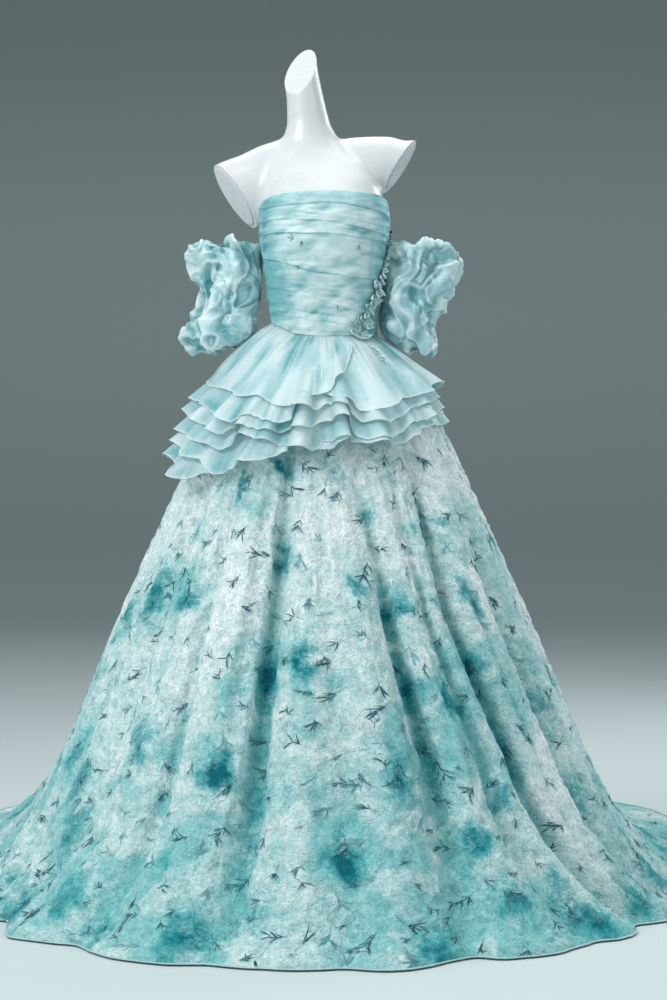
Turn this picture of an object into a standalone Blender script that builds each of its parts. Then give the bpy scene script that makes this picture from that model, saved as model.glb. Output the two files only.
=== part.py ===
# Strapless prom dress with a long train, worn by a white limbless dress form on a stand.
# Units are metres, +Z is up, the front of the dress faces -Y, +X is the viewer's right.
# The origin is the centre of the underside of the stand's base, on the floor.

import bpy
import bmesh
import math
import numpy as np

# Driving sizes
HEM_RADIUS = 0.690
TRAIN_REACH = 1.400
SKIRT_WALL = 0.0020
BODICE_WALL = 0.0030
ORGANZA_WALL = 0.0010
SLEEVE_WALL = 0.0012
SEAM_GAP = 0.0003
FORM_BOTTOM = 0.800
BASE_RADIUS = 0.150
BASE_THICKNESS = 0.014
POLE_RADIUS = 0.014

for old in list(bpy.data.objects):
    bpy.data.objects.remove(old, do_unlink=True)


def smooth_table(x, keys, values):
    """Monotone cubic through the table's points, level beyond its ends."""
    keys = np.asarray(keys, float)
    values = np.asarray(values, float)
    x = np.clip(np.asarray(x, float), keys[0], keys[-1])
    step = np.diff(keys)
    slope = np.diff(values) / step
    tangent = np.zeros_like(values)
    same_sign = slope[:-1] * slope[1:] > 0
    mean = np.where(same_sign, 2 * slope[:-1] * slope[1:] / np.where(same_sign, slope[:-1] + slope[1:], 1), 0)
    tangent[1:-1] = mean
    tangent[0] = slope[0]
    tangent[-1] = slope[-1]
    i = np.clip(np.searchsorted(keys, x, side="right") - 1, 0, len(keys) - 2)
    h = step[i]
    u = (x - keys[i]) / h
    a = values[i]
    b = values[i + 1]
    ma = tangent[i] * h
    mb = tangent[i + 1] * h
    return (a * (1 + 2 * u) * (1 - u) ** 2 + ma * u * (1 - u) ** 2
            + b * u * u * (3 - 2 * u) + mb * u * u * (u - 1))


def wrap(angle):
    """Angle in degrees brought to -180..180."""
    return (np.asarray(angle, float) + 180.0) % 360.0 - 180.0


def held_above(value, floor, soft):
    """Value kept above a floor, rounded where it meets it."""
    d = (value - floor) / soft
    return floor + soft * (np.maximum(d, 0) + np.log1p(np.exp(-np.abs(d))))


def bump(angle, centre, width):
    """Soft hump of height one at a centre angle."""
    return np.exp(-np.abs(wrap(angle - centre) / width) ** 1.7)


# Waist seam height by angle, 0 is the front and +90 the viewer's right
WAIST_ANGLE = (-180, -120, -90, -60, -32, 0, 60, 120, 180)
WAIST_Z = (1.088, 1.100, 1.105, 1.094, 1.076, 1.071, 1.075, 1.080, 1.088)


def waist_z(t):
    return smooth_table(t, WAIST_ANGLE, WAIST_Z)


# Skirt profile from waist to hem: front radius and height, then centre back radius and height
SKIRT_PROFILE = (
    (0.1022, 1.072, 0.1020, 1.072),
    (0.137, 1.045, 0.125, 1.045),
    (0.166, 1.010, 0.152, 1.010),
    (0.192, 0.970, 0.178, 0.965),
    (0.213, 0.930, 0.202, 0.915),
    (0.234, 0.890, 0.230, 0.855),
    (0.260, 0.840, 0.262, 0.785),
    (0.289, 0.780, 0.302, 0.700),
    (0.327, 0.700, 0.348, 0.605),
    (0.364, 0.620, 0.400, 0.505),
    (0.400, 0.540, 0.458, 0.405),
    (0.434, 0.460, 0.525, 0.305),
    (0.466, 0.380, 0.605, 0.210),
    (0.498, 0.300, 0.702, 0.130),
    (0.535, 0.220, 0.812, 0.076),
    (0.572, 0.150, 0.930, 0.043),
    (0.612, 0.090, 1.050, 0.026),
    (0.645, 0.045, 1.170, 0.018),
    (0.674, 0.017, 1.290, 0.013),
    (HEM_RADIUS, 0.0040, TRAIN_REACH, 0.0060),
)
SKIRT_ROWS = np.linspace(0, 1, len(SKIRT_PROFILE))

# Hem radius on the floor by angle
HEM_ANGLE = (-180, -165, -150, -143, -137, -130, -120, -108, -95, -75, -40, 0,
             40, 75, 95, 108, 120, 130, 137, 143, 150, 165, 180)
HEM_REACH = (1.400, 1.390, 1.335, 1.280, 1.190, 1.080, 0.930, 0.815, 0.740, 0.700, 0.690, 0.690,
             0.690, 0.700, 0.740, 0.815, 0.930, 1.080, 1.190, 1.280, 1.335, 1.390, 1.400)

# Sideways run of the folds: angle at the top, then its shift at mid height, low and at the hem
FOLD_RUN = (
    (-180, 0, 0, 0),
    (-118, -2, -4, -6),
    (-75, 1, 3, 4),
    (-50, 1, 2, -9),
    (-14, 0.5, -0.5, -3),
    (12, 6, 11, 11),
    (38, -2, 5, 20),
    (75, -1, 1, 7),
    (118, 1, 3, 6),
    (180, 0, 0, 0),
)

# Large folds: angle at the top, width in degrees, then depth in mm at five levels down to the hem
SKIRT_FOLDS = (
    (-51, 5.0, -14, -18, -16, -24, -28),
    (-42, 5.0, 4, 7, 8, 8, 8),
    (-33, 5.0, -7, -12, -15, -14, -16),
    (-24, 5.0, 5, 9, 10, 10, 8),
    (-14, 4.2, -14, -34, -36, -24, -10),
    (-6, 4.0, 3, 7, 9, 8, 6),
    (-1, 4.0, -4, -7, -12, -14, -12),
    (5, 4.5, 4, 8, 12, 12, 12),
    (12, 4.2, -6, -25, -38, -42, -40),
    (20, 4.5, 4, 9, 13, 13, 12),
    (27, 4.0, -6, -10, -11, -14, -16),
    (32, 4.0, 3, 6, 8, 8, 6),
    (38, 3.8, -18, -28, -32, -32, -20),
    (48, 5.0, 6, 10, 12, 10, 8),
    (57, 4.5, -8, -15, -20, -22, -18),
    (65, 5.0, 3, 6, 6, 8, 6),
    (73, 5.0, -8, -14, -14, -16, -12),
    (90, 6.0, -8, -14, -18, -24, -24),
    (106, 6.0, -10, -20, -28, -32, -24),
    (122, 6.0, -12, -24, -34, -36, -22),
    (140, 7.0, -12, -26, -38, -42, -26),
    (158, 7.0, -12, -26, -40, -48, -28),
    (177, 6.0, -12, -26, -40, -46, -26),
    (-161, 7.0, -12, -26, -42, -50, -28),
    (-143, 7.0, -12, -24, -38, -42, -26),
    (-126, 5.0, -12, -24, -32, -34, -22),
    (-115, 6.0, 4, 18, 34, 40, 20),
    (-102, 6.0, -8, -18, -24, -28, -20),
    (-86, 6.0, -6, -10, -16, -18, -16),
    (-68, 5.0, -8, -14, -18, -24, -20),
)
FOLD_LEVELS = (0.34, 0.52, 0.68, 0.85, 1.00)

# Small flutes of the hem: angle, width in degrees, lift in mm, reach in mm
HEM_FLUTES = (
    (-70, 4, 10, 22), (-58, 3.5, 4, -14), (-50, 3, 8, 10), (-38, 4, 3, -6), (-22, 5, 5, 8),
    (-8, 4, 3, -6), (8, 4, 6, 8), (18, 3, 9, -10), (26, 3, 6, 16), (38, 4, 4, -8),
    (47, 3, 8, 12), (56, 3, 3, -12), (66, 4, 10, 10), (80, 5, 6, -8), (96, 5, 12, 12),
    (112, 5, 5, -10), (128, 5, 12, 14), (146, 5, 8, -16), (163, 5, 14, 14), (-176, 6, 6, -14),
    (-160, 5, 12, 16), (-144, 5, 6, -16), (-128, 5, 14, 12), (-110, 5, 6, -12), (-92, 5, 12, 10),
)


def fold_shift(p, s):
    run = np.array(FOLD_RUN, float)
    mid = smooth_table(p, run[:, 0], run[:, 1])
    low = smooth_table(p, run[:, 0], run[:, 2])
    hem = smooth_table(p, run[:, 0], run[:, 3])
    start = np.clip((s - 0.30) / 0.22, 0, 1)
    first = start * start * (3 - 2 * start)
    second = np.clip((s - 0.52) / 0.16, 0, 1)
    third = np.clip((s - 0.68) / 0.32, 0, 1)
    third = third * third * (3 - 2 * third)
    return mid * first + (low - mid) * second + (hem - low) * third


def fold_depth(p, s):
    depth = np.zeros(np.broadcast(p, s).shape)
    for centre, width, *levels in SKIRT_FOLDS:
        size = smooth_table(s, (0.22,) + FOLD_LEVELS, (0.0,) + tuple(levels)) / 1000.0
        depth = depth + size * bump(p, centre, width)
    return depth


def skirt_point(p, s):
    """Outer face of the skirt: p runs round in degrees, s from the waist 0 to the hem 1."""
    p = np.asarray(p, float)
    s = np.asarray(s, float)
    t = p + fold_shift(wrap(p), s)
    share = (smooth_table(wrap(t), HEM_ANGLE, HEM_REACH) - HEM_RADIUS) / (TRAIN_REACH - HEM_RADIUS)
    rows = np.array(SKIRT_PROFILE)
    radius = (1 - share) * smooth_table(s, SKIRT_ROWS, rows[:, 0]) + share * smooth_table(s, SKIRT_ROWS, rows[:, 2])
    height = (1 - share) * smooth_table(s, SKIRT_ROWS, rows[:, 1]) + share * smooth_table(s, SKIRT_ROWS, rows[:, 3])
    near_waist = np.clip(1 - s / 0.16, 0, 1)
    height = height + (waist_z(wrap(t)) - 0.0005 - 1.072) * near_waist ** 1.5
    oval = smooth_table(s, (0, 0.05, 0.30, 1.0), (0.165, 0.15, 0.0, 0.0))
    radius = radius * (1 - oval * np.cos(np.radians(t)) ** 2)
    radius = radius + fold_depth(wrap(p), s)
    low = np.clip((s - 0.86) / 0.14, 0, 1) ** 2
    for centre, width, lift, reach in HEM_FLUTES:
        hump = bump(t, centre, width) * low
        height = height + lift / 1000.0 * hump
        radius = radius + reach / 1000.0 * hump
    flat = np.clip((0.10 - height) / 0.10, 0, 1) * share
    height = height - flat * np.minimum(fold_depth(wrap(p), s), 0) * -0.35 + flat * 0.004
    height = np.maximum(height, 0.0035)
    a = np.radians(t)
    return np.stack([radius * np.sin(a), -radius * np.cos(a), height], axis=-1)


def skirt_radius_map():
    """Skirt's outer radius by angle and height above 0.74 m, where the folds run straight down."""
    angles = np.arange(-180.0, 180.01, 0.5)
    heights = np.arange(0.74, 1.112, 0.002)
    levels = np.linspace(0, 0.5, 220)
    grid = np.zeros((len(angles), len(heights)))
    for i, angle in enumerate(angles):
        line = skirt_point(np.full(levels.shape, angle), levels)
        order = np.argsort(line[:, 2])
        grid[i] = np.interp(heights, line[order, 2], np.hypot(line[order, 0], line[order, 1]))
    return angles, heights, grid


SKIRT_MAP = skirt_radius_map()
ANGLE_STEP = math.radians(SKIRT_MAP[0][1] - SKIRT_MAP[0][0])
DOWN = np.gradient(SKIRT_MAP[2], SKIRT_MAP[1], axis=1)
ROUND = np.gradient(SKIRT_MAP[2], ANGLE_STEP, axis=0) / SKIRT_MAP[2]
SKIRT_LEAN = np.sqrt(1 + DOWN ** 2 + ROUND ** 2)


def from_map(grid, t, z):
    angles, heights, _ = SKIRT_MAP
    u = (wrap(t) - angles[0]) / (angles[1] - angles[0])
    v = (np.clip(z, heights[0], heights[-1]) - heights[0]) / (heights[1] - heights[0])
    i = np.clip(u.astype(int), 0, len(angles) - 2)
    j = np.clip(v.astype(int), 0, len(heights) - 2)
    u = u - i
    v = v - j
    return ((grid[i, j] * (1 - u) + grid[i + 1, j] * u) * (1 - v)
            + (grid[i, j + 1] * (1 - u) + grid[i + 1, j + 1] * u) * v)


# Ruffle tiers of the peplum, lowest first. Each row: angle, hem height
TIER_HEMS = {
    "ruffle_tier_6": ((-178, 0.835), (-150, 0.830), (-120, 0.838), (-95, 0.846), (-84, 0.842), (-62, 0.813),
                      (-52, 0.797), (-45, 0.803), (-40, 0.815), (-34, 0.835), (-28, 0.855), (-22, 0.875),
                      (-17, 0.895)),
    "ruffle_tier_5": ((-178, 0.858), (-150, 0.852), (-120, 0.862), (-95, 0.874), (-84, 0.867), (-68, 0.850),
                      (-53, 0.838), (-45, 0.816), (-40, 0.806), (-31, 0.811), (-28, 0.829), (-22, 0.827),
                      (-17, 0.837), (-12, 0.846), (-2, 0.847), (4, 0.852), (8, 0.862), (12, 0.875),
                      (16, 0.895), (20, 0.915)),
    "ruffle_tier_4": ((-178, 0.882), (-150, 0.876), (-120, 0.888), (-95, 0.892), (-77, 0.885), (-54, 0.867),
                      (-41, 0.850), (-31, 0.878), (-22, 0.866), (-16, 0.856), (-12.5, 0.858), (-8.5, 0.840),
                      (-2, 0.850), (0, 0.864), (8, 0.863), (23, 0.859), (29, 0.860), (39, 0.875), (45, 0.892),
                      (60, 0.900), (90, 0.905), (130, 0.893), (178, 0.882)),
    "ruffle_tier_3": ((-178, 0.906), (-150, 0.900), (-120, 0.915), (-95, 0.932), (-84, 0.928), (-77, 0.913),
                      (-55, 0.898), (-43, 0.878), (-38, 0.892), (-28, 0.891), (-23, 0.885), (-17, 0.882),
                      (-12, 0.888), (-8, 0.876), (-2, 0.897), (5, 0.901), (9, 0.900), (13, 0.872), (18, 0.867),
                      (25, 0.870), (32, 0.884), (38, 0.899), (55, 0.912), (75, 0.930), (110, 0.922), (178, 0.906)),
    "ruffle_tier_2": ((-178, 0.932), (-150, 0.928), (-120, 0.940), (-95, 0.955), (-84, 0.952), (-67, 0.938),
                      (-47, 0.910), (-37, 0.903), (-30, 0.912), (-19, 0.897), (-13, 0.903), (-9, 0.916),
                      (-3, 0.921), (2, 0.933), (8, 0.925), (16, 0.899), (22, 0.897), (32, 0.912), (44, 0.930),
                      (54, 0.936), (75, 0.950), (110, 0.946), (178, 0.932)),
    "peplum_flounce_right": ((-1, 0.956), (3, 0.949), (6, 0.943), (10, 0.944), (12, 0.940), (15, 0.921),
                             (18, 0.917), (26, 0.925), (36, 0.943), (53, 0.956), (72, 0.980), (90, 0.978),
                             (120, 0.968), (179.93, 0.960)),
    "peplum_overlay_left": ((-179.93, 0.960), (-150, 0.965), (-120, 0.975), (-95, 0.988), (-84, 0.985),
                            (-68, 0.972), (-52, 0.962), (-40, 0.950), (-32, 0.949), (-25, 0.939), (-20, 0.928),
                            (-15, 0.929), (-10, 0.938), (-5, 0.947), (2, 0.955), (5.3, 0.965), (8, 0.982),
                            (12.5, 1.000), (20.5, 1.033), (24, 1.046)),
}
# Top line below the waist seam in mm, flare of the hem in mm, gather waves in mm
TIER_SIZES = {
    "ruffle_tier_6": (150, 34, 1.0),
    "ruffle_tier_5": (120, 30, 1.0),
    "ruffle_tier_4": (90, 28, 1.0),
    "ruffle_tier_3": (60, 30, 1.0),
    "ruffle_tier_2": (32, 30, 1.0),
    "peplum_flounce_right": (0.9, 30, 1.0),
    "peplum_overlay_left": (0.9, 26, 0.45),
}
TIER_ORDER = tuple(TIER_SIZES)

# Flutes of the ruffles: angle, width in degrees, reach in mm, each tier's own shift in degrees per step
FLUTES = (
    (-170, 7, 22, 1.5), (-152, 6, 26, -2.0), (-134, 7, 20, 2.0), (-117, 6, 28, -1.5), (-99, 6, 20, 1.5),
    (-84, 6, 26, 0.8), (-64, 6, 20, -2.0), (-47, 5, 24, 2.2), (-33, 4.5, 22, -2.0), (-21, 4, 18, 1.6),
    (-8, 4.2, 34, 0.4), (7.5, 3.2, 28, 0.6), (21, 6, 30, 1.2), (37, 5, 18, -1.8), (54, 5, 20, 1.5),
    (72, 6, 28, 0.6), (92, 7, 18, -1.5), (110, 6, 26, 1.5), (128, 6, 20, -1.5), (146, 6, 26, 1.5),
    (163, 6, 20, -1.0),
)


def tier_top_z(name, t):
    return waist_z(t) - TIER_SIZES[name][0] / 1000.0


def tier_hem_z(name, t):
    rows = np.array(TIER_HEMS[name], float)
    hem = smooth_table(t, rows[:, 0], rows[:, 1])
    return np.minimum(hem, tier_top_z(name, t) - 0.016)


def tier_own_radius(name, t, z):
    drop, flare, gather = TIER_SIZES[name]
    step = TIER_ORDER.index(name)
    top = tier_top_z(name, t)
    hem = tier_hem_z(name, t)
    s = np.clip((top - z) / (top - hem), 0, 1.15)
    right_side = np.clip((wrap(t) - 30) / 40, 0, 1) * (1 if step in (0, 1, 2, 3, 4) else 0)
    reach = np.zeros(np.broadcast(t, z).shape)
    for centre, width, size, own in FLUTES:
        reach = reach + size * bump(t, centre + own * (step - 3) * 1.6, width)
    reach = reach * gather * (1 - 0.55 * right_side)
    short = np.clip((top - hem) / 0.105, 0.10, 1.0) ** 1.5
    swell = (flare * (1 - 0.5 * right_side) * s ** 1.25 + reach * s ** 1.5) * short
    if name == "ruffle_tier_6":
        swell = swell * np.clip((-38 - t) / 14, 0.3, 1.0)
    if name == "peplum_flounce_right":
        swell = swell * np.clip((t + 4) / 9, 0.35, 1.0)
    if name == "peplum_overlay_left":
        swell = swell + 10.0 * np.sin(np.clip(s, 0, 1) * math.pi) * np.clip(-(t + 20) / 50, 0, 1)
    return from_map(SKIRT_MAP[2], t, z) + (LAYER_GAP * from_map(SKIRT_LEAN, t, z) + swell) / 1000.0


LAYER_GAP = 2.1
TIER_CLEAR = 0.0052
CLEAR_RUN = 0.030


def tier_radius(name, t, z):
    """Outer radius of one tier at an angle and height, held clear of every tier beneath it."""
    need = np.zeros(np.broadcast(t, z).shape)
    for below in TIER_ORDER:
        radius = np.maximum(tier_own_radius(below, t, z), need)
        if below == name:
            return radius
        if below == "peplum_flounce_right" and name != "peplum_overlay_left":
            continue
        rows = TIER_HEMS[below]
        side = np.clip(np.minimum(t - rows[0][0] + 14, rows[-1][0] + 14 - t) / 11, 0, 1)
        over = np.clip((tier_top_z(below, t) + CLEAR_RUN - z) / (CLEAR_RUN - 0.004), 0, 1)
        under = np.clip((z - tier_hem_z(below, t) + 0.034) / 0.022, 0, 1)
        share = side * over * over * (3 - 2 * over) * under
        rest = from_map(SKIRT_MAP[2], t, z)
        need = np.maximum(need, rest + (radius + TIER_CLEAR - rest) * share)
    return radius


def tier_point(name, t, s):
    top = tier_top_z(name, t)
    hem = tier_hem_z(name, t)
    z = top + (hem - top) * s
    radius = tier_radius(name, t, z)
    a = np.radians(t)
    return np.stack([radius * np.sin(a), -radius * np.cos(a), z], axis=-1)


# Bodice sections: height, half width, depth to the front, depth to the back
BODICE_SECTIONS = np.array((
    (1.060, 0.1035, 0.0860, 0.0850),
    (1.110, 0.1040, 0.0880, 0.0845),
    (1.150, 0.1115, 0.0950, 0.0850),
    (1.200, 0.1172, 0.1070, 0.0880),
    (1.240, 0.1216, 0.1180, 0.0910),
    (1.276, 0.1262, 0.1230, 0.0935),
    (1.305, 0.1280, 0.1200, 0.0950),
    (1.335, 0.1276, 0.1120, 0.0950),
    (1.370, 0.1250, 0.1020, 0.0940),
))

# Pleat edges across the bodice: height at the viewer's left side, centre front, right side and centre back
PLEAT_LINES = (
    (1.078, 1.071, 1.075, 1.088),
    (1.124, 1.094, 1.092, 1.112),
    (1.150, 1.115, 1.109, 1.135),
    (1.187, 1.154, 1.150, 1.165),
    (1.228, 1.181, 1.177, 1.195),
    (1.254, 1.222, 1.216, 1.220),
    (1.278, 1.257, 1.256, 1.242),
    (1.300, 1.285, 1.278, 1.258),
    (1.312, 1.312, 1.305, 1.270),
    (1.318, 1.346, 1.322, 1.282),
)


def bodice_top_z(t):
    return smooth_table(wrap(t), (-180, -125, -100, -88, -74, -50, 0, 50, 74, 92, 125, 180),
                        (1.282, 1.282, 1.286, 1.300, 1.329, 1.340, 1.346, 1.344, 1.335, 1.304, 1.284, 1.282))


def body_radius(t, z, shrink=0.0):
    """Radius of the torso section at an angle, flatter than an ellipse across the front."""
    half = smooth_table(z, BODICE_SECTIONS[:, 0], BODICE_SECTIONS[:, 1]) - shrink
    front = smooth_table(z, BODICE_SECTIONS[:, 0], BODICE_SECTIONS[:, 2]) - shrink
    back = smooth_table(z, BODICE_SECTIONS[:, 0], BODICE_SECTIONS[:, 3]) - shrink
    a = np.radians(t)
    side = np.abs(np.sin(a))
    fore = np.cos(a)
    depth = np.where(fore > 0, front, back)
    power = 2.3
    return ((side / half) ** power + (np.abs(fore) / depth) ** power) ** (-1 / power)


def bodice_point(t, s):
    """Outer face of the bodice with its draped pleats, s from the waist 0 to the top edge 1."""
    t = np.asarray(t, float)
    s = np.asarray(s, float)
    lines = np.array(PLEAT_LINES)
    count = len(lines) - 1
    angle = (-180, -95, -55, 0, 55, 95, 180)
    rows = []
    for left, centre, right, back in lines:
        rows.append(smooth_table(wrap(t), angle, (back, left, (left * 0.6 + centre * 0.4), centre,
                                                  (right * 0.6 + centre * 0.4), right, back)))
    rows = np.stack(rows, axis=0)
    rows[0] = waist_z(wrap(t))
    top = bodice_top_z(t)
    rows[-1] = top
    for k in range(count - 1, 0, -1):
        rows[k] = np.minimum(rows[k], rows[k + 1] - 0.006)
    for k in range(1, count):
        rows[k] = np.maximum(rows[k], rows[k - 1] + 0.006)
    rows[-1] = np.maximum(rows[-1], rows[-2] + 0.004)
    place = np.clip(s, 0, 1) * count
    low = np.minimum(place.astype(int), count - 1)
    part = place - low
    z = np.take_along_axis(rows, low[None], axis=0)[0] * (1 - part)
    z = z + np.take_along_axis(rows, (low + 1)[None], axis=0)[0] * part
    radius = body_radius(t, z)
    side_fade = 0.25 + 0.75 * np.clip((92 - np.abs(wrap(t))) / 22, 0, 1)
    room = np.take_along_axis(rows, (low + 1)[None], axis=0)[0] - np.take_along_axis(rows, low[None], axis=0)[0]
    side_fade = side_fade * np.clip((room - 0.004) / 0.018, 0, 1)
    size = np.array((0.0, 1.4, 1.8, 2.0, 3.2, 1.8, 3.0, 2.2, 2.4, 1.2)) / 1000.0
    raised = np.take(size, low) * np.exp(-part * 4.0) * np.clip(part * 12, 0, 1)
    radius = radius + raised * side_fade
    a = np.radians(t)
    return np.stack([radius * np.sin(a), -radius * np.cos(a), z], axis=-1)


# Puff sleeve rings: share of the way round its profile, width share, height, centre x, half width, half depth
SLEEVE_LEFT = np.array((
    (0.00, 0.52, 1.240, -0.186, 0.068, 0.062),
    (0.07, 0.66, 1.254, -0.187, 0.068, 0.062),
    (0.14, 0.86, 1.260, -0.188, 0.069, 0.062),
    (0.22, 1.00, 1.246, -0.191, 0.071, 0.064),
    (0.32, 1.00, 1.222, -0.193, 0.071, 0.064),
    (0.43, 1.00, 1.188, -0.188, 0.066, 0.060),
    (0.54, 1.00, 1.156, -0.187, 0.064, 0.060),
    (0.65, 1.00, 1.125, -0.194, 0.064, 0.062),
    (0.75, 1.00, 1.098, -0.203, 0.070, 0.064),
    (0.85, 1.00, 1.072, -0.204, 0.067, 0.062),
    (0.93, 0.80, 1.052, -0.204, 0.066, 0.060),
    (1.00, 0.56, 1.054, -0.204, 0.062, 0.058),
))
SLEEVE_RIGHT = np.array((
    (0.00, 0.52, 1.238, 0.186, 0.064, 0.062),
    (0.07, 0.66, 1.252, 0.187, 0.066, 0.062),
    (0.14, 0.86, 1.259, 0.188, 0.068, 0.062),
    (0.22, 1.00, 1.244, 0.190, 0.074, 0.064),
    (0.32, 1.00, 1.218, 0.188, 0.075, 0.065),
    (0.43, 1.00, 1.186, 0.189, 0.077, 0.065),
    (0.54, 1.00, 1.152, 0.179, 0.070, 0.062),
    (0.65, 1.00, 1.122, 0.170, 0.062, 0.060),
    (0.75, 1.00, 1.094, 0.164, 0.056, 0.058),
    (0.85, 1.00, 1.068, 0.169, 0.052, 0.055),
    (0.93, 0.80, 1.048, 0.174, 0.048, 0.052),
    (1.00, 0.56, 1.051, 0.176, 0.048, 0.050),
))
# Crumples: angle round the sleeve from its front, place down it, width in degrees, length share, reach in mm
CRUMPLES_LEFT = (
    (-80, 0.24, 26, 0.07, 9), (-62, 0.36, 16, 0.05, -12), (-30, 0.17, 16, 0.07, 10), (-6, 0.28, 12, 0.14, -11),
    (14, 0.36, 10, 0.24, 9), (36, 0.30, 12, 0.10, -9), (58, 0.44, 18, 0.10, 6), (-40, 0.48, 15, 0.07, -13),
    (-88, 0.50, 20, 0.08, -6), (-20, 0.60, 16, 0.09, 8), (6, 0.68, 12, 0.06, -14), (34, 0.80, 22, 0.07, 8),
    (-58, 0.72, 14, 0.10, -8), (-88, 0.80, 20, 0.07, 7), (-14, 0.84, 14, 0.06, 6), (74, 0.68, 16, 0.06, -9),
    (120, 0.30, 22, 0.10, 8), (160, 0.52, 24, 0.10, -9), (-150, 0.40, 22, 0.10, 8), (-125, 0.68, 22, 0.10, -8),
    (130, 0.78, 24, 0.09, 7), (178, 0.80, 20, 0.08, 6),
)
CRUMPLES_RIGHT = (
    (80, 0.30, 24, 0.08, 8), (56, 0.22, 20, 0.07, 7), (22, 0.36, 13, 0.09, -14), (40, 0.44, 16, 0.05, 8),
    (-16, 0.28, 13, 0.12, 8), (-46, 0.32, 16, 0.10, -12), (-38, 0.50, 18, 0.08, 9), (-4, 0.54, 13, 0.06, -14),
    (18, 0.60, 18, 0.05, 7), (86, 0.56, 20, 0.07, -5), (-58, 0.62, 14, 0.06, -9), (-22, 0.76, 26, 0.10, 8),
    (44, 0.74, 18, 0.08, -6), (60, 0.84, 18, 0.06, 12), (10, 0.16, 14, 0.05, 7), (-62, 0.82, 20, 0.07, 5),
    (120, 0.34, 24, 0.10, -8), (150, 0.56, 22, 0.10, 8), (-150, 0.44, 22, 0.10, -8), (-120, 0.66, 22, 0.10, 7),
)


def sleeve_point(side, t, v):
    """Puff sleeve: t runs round it from the front towards the viewer's right, v from the top lip to the lower lip."""
    rings = SLEEVE_LEFT if side < 0 else SLEEVE_RIGHT
    crumples = CRUMPLES_LEFT if side < 0 else CRUMPLES_RIGHT
    t = np.asarray(t, float)
    v = np.asarray(v, float)
    share = smooth_table(v, rings[:, 0], rings[:, 1])
    z = smooth_table(v, rings[:, 0], rings[:, 2])
    cx = smooth_table(v, rings[:, 0], rings[:, 3])
    half = smooth_table(v, rings[:, 0], rings[:, 4])
    deep = smooth_table(v, rings[:, 0], rings[:, 5])
    relief = np.zeros(np.broadcast(t, v).shape)
    for angle, place, width, length, reach in crumples:
        relief = relief + reach / 1000.0 * bump(t, angle, width) * np.exp(-((v - place) / length) ** 2)
    calm = np.clip((v - 0.04) / 0.10, 0, 1) * np.clip((0.98 - v) / 0.08, 0, 1)
    a = np.radians(t)
    x = cx + (half * share + relief * calm) * np.sin(a)
    y = 0.012 - (deep * share + relief * calm) * np.cos(a)
    gather = 0.005 * np.sin(np.radians(t) * 9 + 1.0) + 0.004 * np.sin(np.radians(t) * 5)
    ends = np.exp(-((v - 0.12) / 0.07) ** 2) + np.exp(-((v - 0.92) / 0.06) ** 2)
    inner_side = bump(t, -90 * side, 55)
    z = z + gather * ends * (1 - 0.9 * inner_side)
    z = z + 0.015 * inner_side * np.clip((v - 0.65) / 0.30, 0, 1)
    if side > 0:
        z = z - 0.013 * bump(t, 52, 34) * np.clip((v - 0.72) / 0.24, 0, 1)
    wall = smooth_table(z, BODICE_SECTIONS[:, 0], BODICE_SECTIONS[:, 1]) + (-0.0028 if side < 0 else -0.0006)
    lip = np.clip((0.14 - v) / 0.14, 0, 1) + np.clip((v - 0.86) / 0.14, 0, 1)
    x = held_above(x * side, wall + 0.009 * lip, 0.004) * side
    around = np.degrees(np.arctan2(x, -y))
    tier = "peplum_overlay_left" if side < 0 else "peplum_flounce_right"
    radius = np.hypot(x, y)
    share = np.clip((tier_top_z(tier, around) + 0.022 - z) / 0.020, 0, 1)
    need = (tier_radius(tier, around, z) + 0.006 + 0.009 * lip) * share
    clear = held_above(radius, need, 0.003)
    x = x * clear / radius
    y = y * clear / radius
    return np.stack([x, y, z], axis=-1)


def surface_normals(point, u, v, upward=False):
    """Unit outward normals of a surface from small steps of its two runs, v runs down unless upward is set."""
    du = 0.05
    dv = 0.0008
    along = point(u + du, v) - point(u - du, v)
    down = point(u, np.clip(v + dv, 0, 1)) - point(u, np.clip(v - dv, 0, 1))
    normal = np.cross(along, down) if upward else np.cross(down, along)
    length = np.linalg.norm(normal, axis=-1, keepdims=True)
    return normal / np.maximum(length, 1e-12)


def material(name, colour, roughness=0.7, metallic=0.0, sheen=0.0):
    made = bpy.data.materials.new(name)
    made.use_nodes = True
    shader = made.node_tree.nodes["Principled BSDF"]
    shader.inputs["Base Color"].default_value = (*colour, 1.0)
    shader.inputs["Roughness"].default_value = roughness
    shader.inputs["Metallic"].default_value = metallic
    shader.inputs["Sheen Weight"].default_value = sheen
    made.diffuse_color = (*colour, 1.0)
    return made


def add_mesh(name, vertices, faces, surface, smooth=True):
    mesh = bpy.data.meshes.new(name)
    mesh.from_pydata([tuple(v) for v in vertices], [], faces)
    mesh.validate()
    made = bpy.data.objects.new(name, mesh)
    bpy.context.scene.collection.objects.link(made)
    work = bmesh.new()
    work.from_mesh(mesh)
    bmesh.ops.recalc_face_normals(work, faces=work.faces)
    volume = work.calc_volume(signed=True)
    if volume < 0:
        bmesh.ops.reverse_faces(work, faces=work.faces)
    for face in work.faces:
        face.smooth = smooth
    work.to_mesh(mesh)
    work.free()
    mesh.materials.append(surface)
    return made


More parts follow.
